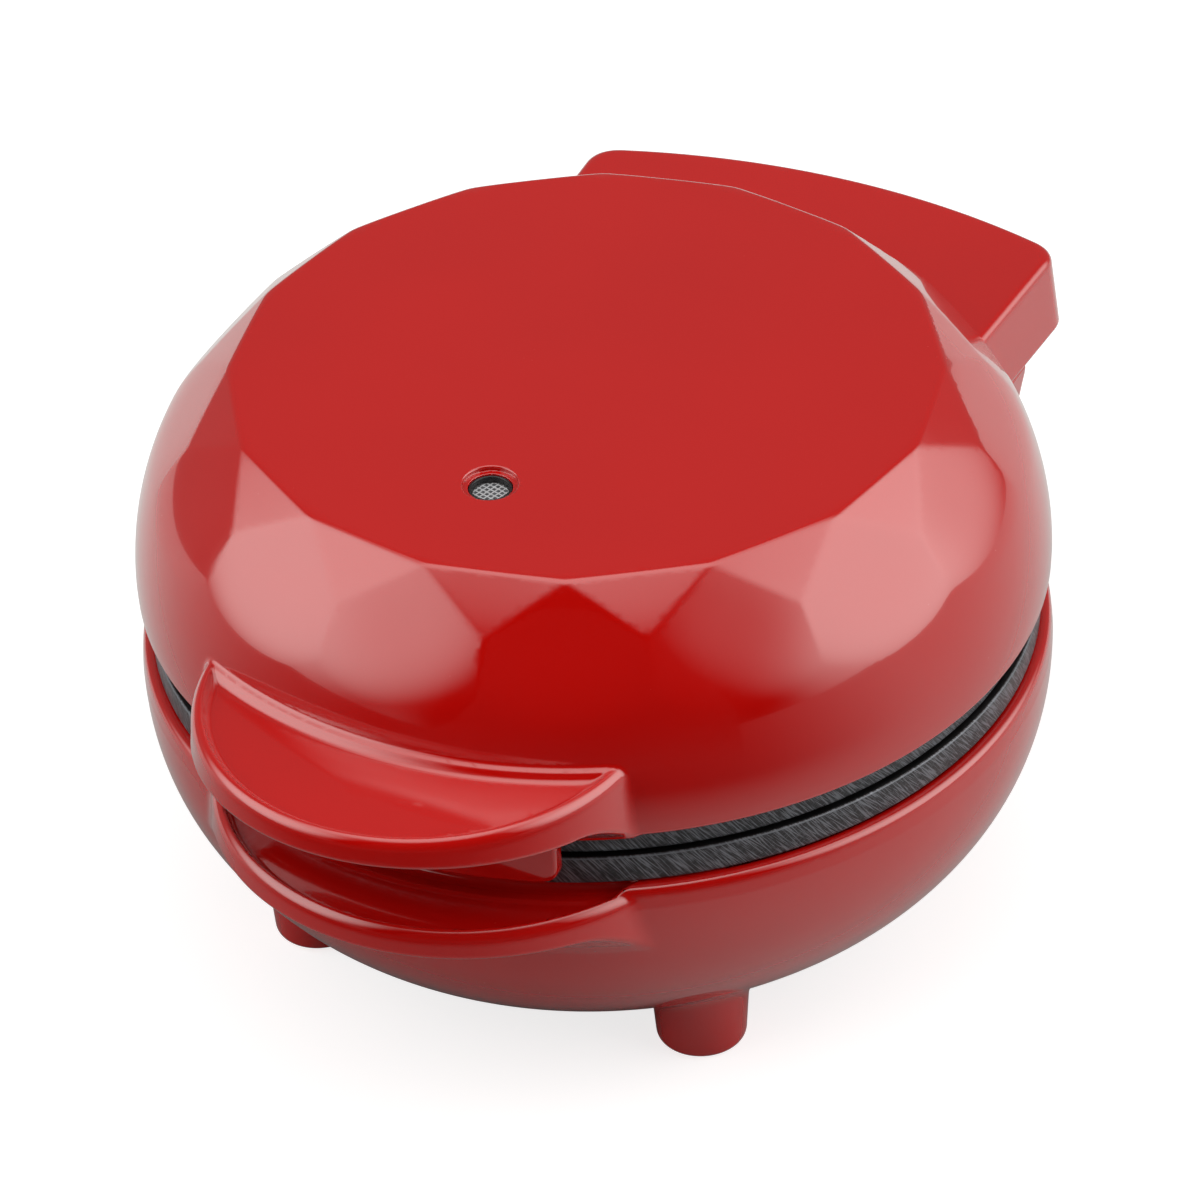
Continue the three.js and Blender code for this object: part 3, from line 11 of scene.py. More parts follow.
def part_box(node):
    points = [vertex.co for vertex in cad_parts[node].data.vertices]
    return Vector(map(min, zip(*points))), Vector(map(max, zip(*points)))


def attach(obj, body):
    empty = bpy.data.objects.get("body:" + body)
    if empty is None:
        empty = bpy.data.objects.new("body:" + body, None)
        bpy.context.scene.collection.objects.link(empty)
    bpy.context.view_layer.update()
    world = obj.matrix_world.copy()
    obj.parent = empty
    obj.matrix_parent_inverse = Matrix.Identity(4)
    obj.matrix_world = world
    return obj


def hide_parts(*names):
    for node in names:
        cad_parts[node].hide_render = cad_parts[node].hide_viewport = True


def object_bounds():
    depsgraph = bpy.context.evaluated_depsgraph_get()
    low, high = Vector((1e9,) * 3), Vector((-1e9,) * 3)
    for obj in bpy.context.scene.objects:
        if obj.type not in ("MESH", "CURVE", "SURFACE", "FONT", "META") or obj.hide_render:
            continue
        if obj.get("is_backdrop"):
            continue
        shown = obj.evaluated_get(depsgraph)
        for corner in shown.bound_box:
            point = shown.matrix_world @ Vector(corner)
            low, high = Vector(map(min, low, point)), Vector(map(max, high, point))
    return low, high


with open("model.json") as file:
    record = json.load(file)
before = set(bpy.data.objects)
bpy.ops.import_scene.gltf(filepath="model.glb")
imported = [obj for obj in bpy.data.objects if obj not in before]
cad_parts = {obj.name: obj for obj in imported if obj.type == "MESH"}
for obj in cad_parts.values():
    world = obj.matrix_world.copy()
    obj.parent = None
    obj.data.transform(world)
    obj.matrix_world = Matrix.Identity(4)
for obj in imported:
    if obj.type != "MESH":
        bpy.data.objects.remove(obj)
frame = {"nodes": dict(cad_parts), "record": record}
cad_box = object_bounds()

# Shapes are worked out in millimetres from the upright axis of the round body
METRES = 0.001
plate_low, plate_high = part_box("lower_cooking_plate")
BODY_AXIS_Y = (plate_low.y + plate_high.y) / 2

# Mesh fineness
GRID_STEP = 1.15
FINE_STEP = 0.5
HANDLE_STEP = 0.6
LAMP_STEP = 0.26
SMALLEST_EDGE = 0.32
SHARP_TURN = math.radians(7)
REFINE_ROUNDS = 3
RELAX_ROUNDS = 2
SETTLE_ROUNDS = 4
PROBE = 0.02
LEAST_SLOPE = 0.05
TINY = 1e-9
MARGIN = 2
FINE_REACH = 1

# How far a cut or a post runs on past the face that it meets
OVERLAP = 1

# Lid: rim, dome arc, cut-gem crown
SHELL_WALL = 2.6
BODY_RADIUS = 63.5
LID_RIM_Z = 51.8
LID_RIM_INNER = 61.5
LID_RIM_STEP_Z = 52.3
LID_RIM_DRAFT = 0.045
DOME_ARC_RADIUS = 37
DOME_ARC_Z = 54
DOME_CENTRE = BODY_RADIUS - DOME_ARC_RADIUS
TABLE_Z = 83.1
TABLE_RADIUS = 49
FACETS = 16
SECTOR = 2 * math.pi / FACETS
FACET_TIP_RADIUS = 55
FACET_TIP_Z = 77.3
TABLE_APOTHEM = TABLE_RADIUS * math.cos(SECTOR / 2)
TRIANGLE_SLOPE = (TABLE_Z - FACET_TIP_Z) / (FACET_TIP_RADIUS - TABLE_APOTHEM)
KITE_SLOPE = (TABLE_Z - FACET_TIP_Z) / (FACET_TIP_RADIUS * math.cos(SECTOR / 2) - TABLE_RADIUS)
TABLE_EDGE = 0.3
FACET_EDGE = 0.11
DOME_EDGE = 1.1

# Front handles: crescent trays
LID_HANDLE = {
    "centre": 50.6, "radius": 31.1, "top": 62.8, "root_z": 51.8, "root_radius": 63.4,
    "cove_out": 7.3, "cove_up": 5.1, "rise": 1.7, "tray_depth": 1.3, "tray_border": 1.6,
    "tray_inset": 0.15, "root_edge": 1.4, "draft": 0.09, "edge": 2.0,
    "fillet": 0.5, "side_fillet": 1.0,
}
BASE_HANDLE = {
    "centre": 38.8, "radius": 35.5, "top": 42.4, "root_z": 33.0, "root_radius": 63.4,
    "cove_out": 5.0, "cove_up": 4.7, "rise": 0.3, "tray_depth": 1.5, "tray_border": 1.7,
    "tray_inset": -3.2, "root_edge": 0.9, "draft": 0.09, "edge": 2.2,
    "fillet": 0.4, "side_fillet": 0.8,
}
TRAY_EDGE = 0.9
TRAY_CORNER = 1.0
TRAY_FLOOR_EDGE = 1.2
HANDLE_UNDER_EDGE = 0.7
FILLET_REACH = 2.5
FILLET_START = 0.25
HANDLE_BACK_Y = -60
HANDLE_DEPTH = 4

# Skirt behind the lid's handle
SKIRT_HALF = 23
SKIRT_BOTTOM_Z = 45
SKIRT_TOP_Z = 58
SKIRT_INNER = 62.4
SKIRT_OUTER = 64.4
SKIRT_CORNER = 2.2
SKIRT_EDGE = 0.6

# Rear hood
HOOD_REAR_Y = 86
HOOD_REAR_RADIUS = 110
HOOD_HALF = 39.1
HOOD_FRONT_HALF = 37
HOOD_FRONT_Y = 40
HOOD_DRAFT = 1.7
HOOD_TOP_Z = 62.8
HOOD_WALL = 2.4
HOOD_CORNER = 3.6
HOOD_EDGE = 1.3
HOOD_FILLET = 0.6
RIM_EDGE = 0.5

# Hinge
HINGE_Y = 72
HINGE_Z = 54.5
BARREL_RADIUS = 5.3
BARREL_HALF = 33
BARREL_INNER = 20
PIN_BORE = 2.3
PIN_BORE_END = 35.6
BOSS_RADIUS = 4
WEB_REAR_Y = 67.2
WEB_TOP_Z = 51.2
WEB_FOOT = (50, 24)
WEB_KNEE = (67.2, 36)
WEB_SHOULDER_Z = 48.8
WING_HALF = 37.4
WING_FOOT = (50, 26)
WING_KNEE = (67.2, 49.8)
WEB_PLATE_ROOM = 62.6
WEB_EDGE = 0.8

# Wires between base and lid
SLEEVE_X = 9
DUCT_HALF = 3
DUCT_REAR_Y = 66.2
DUCT_FRONT_Y = 58.5
DUCT_FOOT_Z = 37
WIRE_SLOT_Z = (52.7, 57.7)
WIRE_SLOT_Y = (55, 66.7)

# Bowl
BOWL_RADIUS = 63.7
BOWL_FLOOR_RADIUS = 41.9
BOWL_FLOOR_Z = 6.9
BOWL_SHOULDER_Z = 39.5
BOWL_RIM_Z = 42.8
BOWL_RIM_DRAFT = 0.09
BOWL_OUT_POWER = 1.43
BOWL_UP_POWER = 0.9
BOWL_RIM_EDGE = 1.3
BOWL_LEAST_RATE = 0.7

# Ledge behind the lower tray, under the plate's flange
LEDGE_INNER = 57.5
LEDGE_OUTER = 62
LEDGE_BOTTOM_Z = 38
LEDGE_END_Y = -46

# Feet, screw wells and cord inlet
FOOT_X = 29.8
FOOT_YS = (-32.4, 38.5)
FOOT_BOTTOM_Z = 0.2
FOOT_TOP_Z = 20
FOOT_RADIUS = 6.3
FOOT_TOP_RADIUS = 7.6
FOOT_EDGE = 1.1
FOOT_FILLET = 1.6
PAD_RADIUS = 3.8
PAD_RECESS_Z = 1.3
CLEARANCE = 0.3
WELL_CIRCLE = 50
WELL_ANGLES = (-97, 23, 143)
WELL_BORE = 3.5
WELL_WALL = 1.6
WELL_ROOF_Z = 28.4
WELL_ROOF = 2.4
WELL_EDGE = 0.7
SCREW_HOLE = 1.9
INLET_Z = 23
INLET_BOSS_RADIUS = 8.5
INLET_FACE_Y = 64
INLET_ROOT_Y = 56
INLET_HOLE = 4.9

# Indicator in the flat top
LAMP_Y = -29.3
LAMP_RECESS_RADIUS = 3.75
LAMP_RECESS = 0.7
LAMP_HOLE = 3.0
LAMP_EDGE = 0.35
LENS_RADIUS = 2.55
LENS_TOP_Z = 81.3
LENS_EDGE = 0.12
LENS_COLLAR_RADIUS = 2.95
LENS_COLLAR_Z = 82.25
LENS_TURN = math.radians(-17)
LENS_PITCH = 0.72
LENS_RELIEF = 0.1
LENS_STEP = 0.14
lens_low, lens_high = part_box("indicator_lens")
LENS_FLANGE_RADIUS = (lens_high.x - lens_low.x) / 2 / METRES
LENS_FLANGE = 1
LENS_FLANGE_Z = (lens_low.z / METRES, lens_low.z / METRES + LENS_FLANGE)

# Cooking plates, measured from the parting plane of each
LOWER_PARTING_Z = 47.4
UPPER_PARTING_Z = 47.7
LOWER_PLATE_RADIUS = 62
UPPER_PLATE_RADIUS = 61.2
PLATE_FLANGE = 4.3
CAVITY_RADIUS = 51
CAVITY_DEPTH = 8.5
CAVITY_DRAFT = 1.5
PAN_DEPTH = 11
PAN_RADIUS = 53.5
RIDGE_PITCH = 16.5
RIDGES_PER_SIDE = 2
RIDGE_TOP_HALF = 1.7
RIDGE_FOOT_HALF = 3.1
RIDGE_DROP = 2.9
PLATE_EDGE = 0.45
RIDGE_EDGE = 0.9
RIDGE_FILLET = 1.2
CLAMP_BOSS_CIRCLE = 24
CLAMP_BOSS_LENGTH = 6.7
OUTER_BOSS_LENGTH = 7.7
CLIP_ANGLES = (-30, 90, 210)
CLIP_BOSS_CIRCLE = 45
CLIP_BOSS_LENGTH = 7


# Solids as signed distances: negative inside

def smooth_max(a, b, k):
    return np.maximum(a, b) + np.maximum(k - np.abs(a - b), 0) ** 2 / (4 * k)


def smooth_min(a, b, k):
    return -smooth_max(-a, -b, k)


def between(value, low, high):
    return np.maximum(low - value, value - high)


def from_post(x, y, circle, angle):
    """Distance from an upright line that stands at an angle on a circle."""
    turn = math.radians(angle)
    return np.hypot(x - circle * math.cos(turn), y - circle * math.sin(turn))


def beyond_line(y, z, start, end):
    """Distance to the lower right of the line that climbs from start to end."""
    (y0, z0), (y1, z1) = start, end
    length = math.hypot(y1 - y0, z1 - z0)
    return ((y - y0) * (z1 - z0) - (z - z0) * (y1 - y0)) / length


def crown(rho, turn, z):
    """The cut gem: a flat table, triangle facets on its edges and kites on its corners."""
    tip = -math.pi / 2 + SECTOR / 2
    psi = turn - tip
    psi = psi - SECTOR * np.round(psi / SECTOR)
    table = z - TABLE_Z

    def facet(slope, reach, offset):
        out = rho * np.cos(psi - offset * SECTOR) - reach
        return (table + slope * out) / math.hypot(1, slope)

    kites = smooth_max(
        facet(KITE_SLOPE, TABLE_RADIUS, -0.5), facet(KITE_SLOPE, TABLE_RADIUS, 0.5), FACET_EDGE)
    sides = np.maximum(
        facet(TRIANGLE_SLOPE, TABLE_APOTHEM, -1), facet(TRIANGLE_SLOPE, TABLE_APOTHEM, 1))
    triangles = smooth_max(facet(TRIANGLE_SLOPE, TABLE_APOTHEM, 0), sides, FACET_EDGE)
    return smooth_max(smooth_max(kites, triangles, FACET_EDGE), table, TABLE_EDGE)


def dome(rho, z, inset):
    arc = np.hypot(np.maximum(rho - DOME_CENTRE, 0), z - DOME_ARC_Z) - DOME_ARC_RADIUS + inset
    wall = rho - BODY_RADIUS + inset + LID_RIM_DRAFT * (DOME_ARC_Z - z)
    return np.where(z > DOME_ARC_Z, arc, wall)


def crescent(x, y, z, rho, size):
    """Crescent handle with a coved underside and a sunken tray."""
    out = np.hypot(x, y + size["centre"])
    tip_radius = size["centre"] + size["radius"]
    cove_end = size["root_radius"] + size["cove_out"]
    share = np.clip((rho - size["root_radius"]) / size["cove_out"], 0, 1)
    climb = np.maximum(rho - cove_end, 0) / (tip_radius - cove_end)
    under_z = size["root_z"] + size["cove_up"] * np.sin(share * math.pi / 2) + size["rise"] * climb
    slope = size["cove_up"] / size["cove_out"] * math.pi / 2 * np.cos(share * math.pi / 2)
    under = (under_z - z) / np.hypot(1, slope)
    flare = size["draft"] * (size["top"] - z)
    whole = smooth_max(out - size["radius"] - flare, z - size["top"], size["edge"])
    whole = smooth_max(whole, under, HANDLE_UNDER_EDGE)
    tray, edge = crescent_tray(out, z, rho, size)
    return smooth_max(whole, -tray, edge)


def crescent_tray(out, z, rho, size):
    """The hollow of a crescent's tray and the rounding of its edges."""
    rim_side = out - size["radius"] + size["tray_border"]
    root_side = size["root_radius"] + size["tray_inset"] - rho
    plan = smooth_max(rim_side, root_side, TRAY_CORNER)
    at_root = np.clip((root_side - rim_side) / TRAY_FLOOR_EDGE + 0.5, 0, 1)
    tray = smooth_max(plan, size["top"] - size["tray_depth"] - z, TRAY_FLOOR_EDGE)
    return tray, TRAY_EDGE + (size["root_edge"] - TRAY_EDGE) * at_root


def crescent_fillet(z, size):
    """Small along the handle's top and wider down its sides."""
    down = np.clip((size["top"] - z) / FILLET_REACH - FILLET_START, 0, 1)
    return size["fillet"] + (size["side_fillet"] - size["fillet"]) * down


def skirt(x, z, rho):
    ring = smooth_max(rho - SKIRT_OUTER, SKIRT_INNER - rho, SKIRT_EDGE)
    face = smooth_max(np.abs(x) - SKIRT_HALF, SKIRT_BOTTOM_Z - z, SKIRT_CORNER)
    return smooth_max(smooth_max(ring, face, SKIRT_EDGE), z - SKIRT_TOP_Z, SKIRT_EDGE)


def hood_sides(x, y, z):
    spread = (HOOD_HALF - HOOD_FRONT_HALF) / (HOOD_REAR_Y - HOOD_FRONT_Y)
    lean = HOOD_DRAFT * (z - LID_RIM_Z) / (HOOD_TOP_Z - LID_RIM_Z)
    side = np.abs(x) - HOOD_HALF + spread * (HOOD_REAR_Y - y) + lean
    rear = np.hypot(x, y - HOOD_REAR_Y + HOOD_REAR_RADIUS) - HOOD_REAR_RADIUS
    return smooth_max(side, rear, HOOD_CORNER)


def hood(y, z, sides):
    shape = smooth_max(sides, z - HOOD_TOP_Z, HOOD_EDGE)
    shape = smooth_max(shape, LID_RIM_Z - z, RIM_EDGE)
    return np.maximum(shape, HOOD_FRONT_Y - y)


def hinge_rod(y, z, radius):
    return np.hypot(y - HINGE_Y, z - HINGE_Z) - radius


def lid_shape(x, y, z):
    rho = np.hypot(x, y)
    gem = crown(rho, np.arctan2(y, x), z)
    body = smooth_max(dome(rho, z, 0), gem, DOME_EDGE)
    body = smooth_max(body, LID_RIM_Z - z, RIM_EDGE)
    body = smooth_min(body, crescent(x, y, z, rho, LID_HANDLE), crescent_fillet(z, LID_HANDLE))
    body = smooth_min(body, skirt(x, z, rho), SKIRT_EDGE)
    sides = hood_sides(x, y, z)
    body = smooth_min(body, hood(y, z, sides), HOOD_FILLET)
    hollow = np.maximum(dome(rho, z, SHELL_WALL), gem + SHELL_WALL)
    step = np.maximum(rho - LID_RIM_INNER, z - LID_RIM_STEP_Z)
    body = smooth_max(body, -np.minimum(hollow, step), RIM_EDGE)
    room = np.maximum(sides + HOOD_WALL, z - HOOD_TOP_Z + HOOD_WALL)
    room = np.maximum(room, BODY_RADIUS - rho)
    body = smooth_max(body, -np.maximum(room, -y), RIM_EDGE)
    inner = BARREL_HALF + CLEARANCE
    boss = np.maximum(hinge_rod(y, z, BOSS_RADIUS), between(np.abs(x), inner, HOOD_HALF - HOOD_WALL))
    body = smooth_min(body, np.maximum(boss, LID_RIM_Z - z), RIM_EDGE)
    body = np.maximum(body, -np.maximum(hinge_rod(y, z, PIN_BORE), np.abs(x) - PIN_BORE_END))
    slot = np.maximum(np.abs(x - SLEEVE_X) - DUCT_HALF, between(z, *WIRE_SLOT_Z))
    body = np.maximum(body, -np.maximum(slot, between(y, *WIRE_SLOT_Y)))
    lamp = np.hypot(x, y - LAMP_Y)
    recess = np.maximum(lamp - LAMP_RECESS_RADIUS, TABLE_Z - LAMP_RECESS - z)
    recess = np.maximum(recess, z - TABLE_Z - OVERLAP)
    opening = np.minimum(recess, np.maximum(lamp - LAMP_HOLE, LID_RIM_Z - z))
    return smooth_max(body, -opening, LAMP_EDGE)


def bowl(rho, z, floor_radius, wall_radius, floor_z):
    """A flat floor that swells into an upright wall, as a rounded rectangle's corner does."""
    out_power, up_power = 2 / BOWL_OUT_POWER, 2 / BOWL_UP_POWER
    width, height = wall_radius - floor_radius, BOWL_SHOULDER_Z - floor_z
    out = np.maximum((rho - floor_radius) / width, 0)
    down = np.maximum((BOWL_SHOULDER_Z - z) / height, 0)
    value = out ** out_power + down ** up_power - 1
    rate_out = out_power / width * out ** (out_power - 1)
    rate_down = up_power / height * down ** (up_power - 1)
    draft = BOWL_RIM_DRAFT * np.maximum(z - BOWL_SHOULDER_Z, 0)
    return value / np.maximum(np.hypot(rate_out, rate_down), BOWL_LEAST_RATE / height) + draft


def hinge_web(x, y, z, rho):
    wide = np.abs(x)
    middle = smooth_max(wide - BARREL_HALF, beyond_line(y, z, WEB_FOOT, WEB_KNEE), WEB_EDGE)
    wings = smooth_max(wide - WING_HALF, beyond_line(y, z, WING_FOOT, WING_KNEE), WEB_EDGE)
    web = smooth_min(middle, wings, WEB_EDGE)
    web = smooth_max(web, y - WEB_REAR_Y, WEB_EDGE)
    web = smooth_max(web, z - WEB_TOP_Z, WEB_EDGE)
    web = np.maximum(web, HOOD_FRONT_Y - y)
    neck = np.maximum(
        beyond_line(y, z, (WEB_REAR_Y, WEB_SHOULDER_Z), (HINGE_Y, HINGE_Z)),
        -beyond_line(y, z, (BODY_RADIUS, WEB_TOP_Z), (HINGE_Y - BARREL_RADIUS, HINGE_Z)),
    )
    neck = np.maximum(neck, between(z, WEB_SHOULDER_Z - BARREL_RADIUS, HINGE_Z))
    knuckles = smooth_min(hinge_rod(y, z, BARREL_RADIUS), neck, WEB_EDGE)
    knuckles = smooth_max(knuckles, between(wide, BARREL_INNER, BARREL_HALF), WEB_EDGE)
    web = smooth_min(web, knuckles, WEB_EDGE / 2)
    plate_room = np.maximum(rho - WEB_PLATE_ROOM, BOWL_RIM_Z - z)
    web = np.maximum(web, -plate_room)
    return np.maximum(web, -np.maximum(hinge_rod(y, z, PIN_BORE), BARREL_INNER - wide))


def feet(x, y, z):
    slope = (FOOT_TOP_RADIUS - FOOT_RADIUS) / (FOOT_TOP_Z - PAD_RECESS_Z)
    nearest = np.minimum(*(np.abs(y - foot_y) for foot_y in FOOT_YS))
    out = np.hypot(np.abs(x) - FOOT_X, nearest)
    cone = out - FOOT_RADIUS - slope * (z - PAD_RECESS_Z)
    peg = smooth_max(cone, FOOT_BOTTOM_Z - z, FOOT_EDGE)
    recess = np.maximum(out - PAD_RADIUS - CLEARANCE, z - PAD_RECESS_Z)
    return np.maximum(np.maximum(peg, z - FOOT_TOP_Z), -recess)


def base_shape(x, y, z):
    rho = np.hypot(x, y)
    outer = bowl(rho, z, BOWL_FLOOR_RADIUS, BOWL_RADIUS, BOWL_FLOOR_Z)
    body = smooth_max(outer, z - BOWL_RIM_Z, BOWL_RIM_EDGE)
    body = smooth_min(body, crescent(x, y, z, rho, BASE_HANDLE), crescent_fillet(z, BASE_HANDLE))
    body = smooth_min(body, hinge_web(x, y, z, rho), HOOD_FILLET)
    body = smooth_min(body, feet(x, y, z), FOOT_FILLET)
    boss = np.hypot(x, z - INLET_Z) - INLET_BOSS_RADIUS
    boss = smooth_max(boss, between(y, INLET_ROOT_Y, INLET_FACE_Y), HOOD_EDGE)
    body = smooth_min(body, boss, RIM_EDGE)
    inner = bowl(rho, z, BOWL_FLOOR_RADIUS - SHELL_WALL / 2, BOWL_RADIUS - SHELL_WALL,
                 BOWL_FLOOR_Z + SHELL_WALL)
    body = smooth_max(body, -inner, BOWL_RIM_EDGE)
    ledge = np.maximum(between(rho, LEDGE_INNER, LEDGE_OUTER), between(z, LEDGE_BOTTOM_Z, BOWL_RIM_Z))
    body = np.minimum(body, np.maximum(ledge, y - LEDGE_END_Y))
    tray, edge = crescent_tray(np.hypot(x, y + BASE_HANDLE["centre"]), z, rho, BASE_HANDLE)
    body = smooth_max(body, -tray, edge)
    for angle in WELL_ANGLES:
        out = from_post(x, y, WELL_CIRCLE, angle)
        post = np.maximum(np.maximum(out - WELL_BORE - WELL_WALL, z - WELL_ROOF_Z), outer + OVERLAP)
        bore = np.maximum(out - WELL_BORE, z - WELL_ROOF_Z + WELL_ROOF)
        body = smooth_max(np.minimum(body, post), -bore, WELL_EDGE)
        body = np.maximum(body, -np.maximum(out - SCREW_HOLE, z - HINGE_Z))
    duct = np.maximum(np.abs(x + SLEEVE_X) - DUCT_HALF, between(y, DUCT_FRONT_Y, DUCT_REAR_Y))
    body = np.maximum(body, -np.maximum(duct, DUCT_FOOT_Z - z))
    inlet = np.maximum(np.hypot(x, z - INLET_Z) - INLET_HOLE, INLET_ROOT_Y - BOSS_RADIUS - y)
    return np.maximum(body, -inlet)


def plate_shape(x, y, z, radius, outer_bosses):
    """Plate with its cavity side up and its parting plane at zero."""
    rho = np.hypot(x, y)
    flange = smooth_max(rho - radius, between(z, -PLATE_FLANGE, 0), PLATE_EDGE)
    lean = CAVITY_DRAFT * np.clip((z + PLATE_FLANGE) / (PAN_DEPTH - PLATE_FLANGE), -1, 0)
    pan = smooth_max(rho - PAN_RADIUS - lean, -PAN_DEPTH - z, RIDGE_EDGE)
    body = smooth_min(flange, np.maximum(pan, z), RIDGE_EDGE)
    cavity = rho - CAVITY_RADIUS - CAVITY_DRAFT * np.clip(z / CAVITY_DEPTH, -1, 0)
    cavity = smooth_max(cavity, -CAVITY_DEPTH - z, RIDGE_FILLET)
    body = smooth_max(body, -cavity, RIDGE_EDGE)

    def ridge(across):
        nearest = np.clip(np.round(across / RIDGE_PITCH), -RIDGES_PER_SIDE, RIDGES_PER_SIDE)
        slope = (RIDGE_FOOT_HALF - RIDGE_TOP_HALF) / (CAVITY_DEPTH - RIDGE_DROP)
        half = RIDGE_TOP_HALF - slope * (z + RIDGE_DROP)
        wall = (np.abs(across - RIDGE_PITCH * nearest) - half) / math.hypot(1, slope)
        return smooth_max(wall, z + RIDGE_DROP, RIDGE_EDGE)

    ridges = smooth_min(ridge(x), ridge(y), RIDGE_EDGE)
    ridges = np.maximum(ridges, np.maximum(rho - CAVITY_RADIUS, -CAVITY_DEPTH - OVERLAP - z))
    body = smooth_min(body, ridges, RIDGE_FILLET)
    bosses = [(angle, CLAMP_BOSS_CIRCLE, CLAMP_BOSS_LENGTH) for angle in WELL_ANGLES]
    for angle, circle, length in bosses + outer_bosses:
        out = from_post(x, y, circle, angle) - BOSS_RADIUS
        post = smooth_max(out, between(z, -PAN_DEPTH - length, OVERLAP - PAN_DEPTH), PLATE_EDGE)
        body = smooth_min(body, post, PLATE_EDGE)
    return body


def lower_plate_shape(x, y, z):
    bosses = [(angle, WELL_CIRCLE, OUTER_BOSS_LENGTH) for angle in WELL_ANGLES]
    return plate_shape(x, y, z - LOWER_PARTING_Z, LOWER_PLATE_RADIUS, bosses)


def upper_plate_shape(x, y, z):
    bosses = [(angle, CLIP_BOSS_CIRCLE, CLIP_BOSS_LENGTH) for angle in CLIP_ANGLES]
    return plate_shape(x, y, UPPER_PARTING_Z - z, UPPER_PLATE_RADIUS, bosses)


def lens_shape(x, y, z):
    """Sunken lens with crossed ridges on its face, in a collar with a flange under the lid's top."""
    back = y - LAMP_Y
    out = np.hypot(x, back)
    along = (x * math.cos(LENS_TURN) + back * math.sin(LENS_TURN)) / LENS_PITCH
    across = (back * math.cos(LENS_TURN) - x * math.sin(LENS_TURN)) / LENS_PITCH
    ridges = np.maximum(np.abs(along % 1 - 0.5), np.abs(across % 1 - 0.5))
    face = LENS_TOP_Z - 2 * LENS_RELIEF * (0.5 - ridges)
    pocket = smooth_max(out - LENS_RADIUS, face - z, LENS_EDGE)
    collar = smooth_max(out - LENS_COLLAR_RADIUS, z - LENS_COLLAR_Z, LENS_EDGE)
    neck = smooth_max(np.maximum(collar, LENS_FLANGE_Z[0] - z), -pocket, LENS_EDGE)
    flange = smooth_max(out - LENS_FLANGE_RADIUS, between(z, *LENS_FLANGE_Z), LENS_EDGE)
    return np.minimum(neck, flange)


# Surfaces from distances

def grid_lines(low, high, fine=()):
    """Even grid lines, with closer ones in the fine stretches."""
    lines = list(np.arange(low, high + GRID_STEP, GRID_STEP))
    for start, end, step in fine:
        lines = [v for v in lines if v < start - step / 2 or v > end + step / 2]
        lines += list(np.linspace(start, end, int(round((end - start) / step)) + 1))
    return np.array(sorted(lines))


def surface_nets(shape, xs, ys, zs):
    """One point in each grid cell that the surface crosses, one quad round each crossed edge."""
    lines = (xs, ys, zs)
    field = shape(*np.meshgrid(xs, ys, zs, indexing="ij"))
    inside = field < 0
    corners = [inside[a:a - 1 or None, b:b - 1 or None, c:c - 1 or None]
               for a in (0, 1) for b in (0, 1) for c in (0, 1)]
    filled = sum(corner.astype(np.int8) for corner in corners)
    cells = np.stack(np.nonzero((filled > 0) & (filled < 8)), axis=1)
    ids = -np.ones(filled.shape, dtype=np.int64)
    ids[tuple(cells.T)] = np.arange(len(cells))
    total = np.zeros((len(cells), 3))
    count = np.zeros(len(cells))
    quads = []
    for axis in range(3):
        second, third = (axis + 1) % 3, (axis + 2) % 3
        for shift_b in (0, 1):
            for shift_c in (0, 1):
                start = cells.copy()
                start[:, second] += shift_b
                start[:, third] += shift_c
                end = start.copy()
                end[:, axis] += 1
                f0, f1 = field[tuple(start.T)], field[tuple(end.T)]
                crossed = (f0 < 0) != (f1 < 0)
                share = np.where(crossed, f0 / np.where(f0 == f1, 1, f0 - f1), 0)
                points = np.stack([lines[i][start[:, i]] for i in range(3)], axis=1)
                step = lines[axis][end[:, axis]] - lines[axis][start[:, axis]]
                points[:, axis] += share * step
                total += points * crossed[:, None]
                count += crossed
        low = [slice(1, -1)] * 3
        low[axis] = slice(0, -1)
        high = list(low)
        high[axis] = slice(1, None)
        before, after = inside[tuple(low)], inside[tuple(high)]
        edges = np.stack(np.nonzero(before != after), axis=1)
        rising = before[tuple(edges.T)]
        base = edges + 1
        base[:, axis] -= 1
        around = []
        for shift_b, shift_c in ((-1, -1), (0, -1), (0, 0), (-1, 0)):
            cell = base.copy()
            cell[:, second] += shift_b
            cell[:, third] += shift_c
            around.append(ids[tuple(cell.T)])
        quad = np.stack(around, axis=1)
        quads.append(np.where(rising[:, None], quad, quad[:, ::-1]))
    return total / count[:, None], np.concatenate(quads)


def slope_of(shape, points):
    """Direction in which the distance grows, from four probes round each point."""
    total = np.zeros_like(points)
    for corner in ((1, -1, -1), (-1, -1, 1), (-1, 1, -1), (1, 1, 1)):
        corner = np.array(corner, float)
        total += shape(*(points + PROBE * corner).T)[:, None] * corner
    return total / (4 * PROBE)


def settled(shape, points, rounds=SETTLE_ROUNDS):
    """Points moved onto the surface."""
    for _ in range(rounds):
        slope = slope_of(shape, points)
        size = np.maximum((slope ** 2).sum(axis=1), LEAST_SLOPE)
        move = slope * (shape(*points.T) / size)[:, None]
        length = np.linalg.norm(move, axis=1, keepdims=True)
        points = points - move * np.minimum(1, GRID_STEP / 2 / np.maximum(length, TINY))
    return points


def unit(vectors):
    return vectors / np.maximum(np.linalg.norm(vectors, axis=1, keepdims=True), TINY)


def relaxed(points, quads):
    """Points moved to the middle of their neighbours."""
    total = np.zeros_like(points)
    count = np.zeros(len(points))
    for a, b in ((0, 1), (1, 2), (2, 3), (3, 0)):
        for one, other in ((a, b), (b, a)):
            for axis in range(3):
                total[:, axis] += np.bincount(
                    quads[:, one], weights=points[quads[:, other], axis], minlength=len(points))
            count += np.bincount(quads[:, one], minlength=len(points))
    return total / np.maximum(count, 1)[:, None]


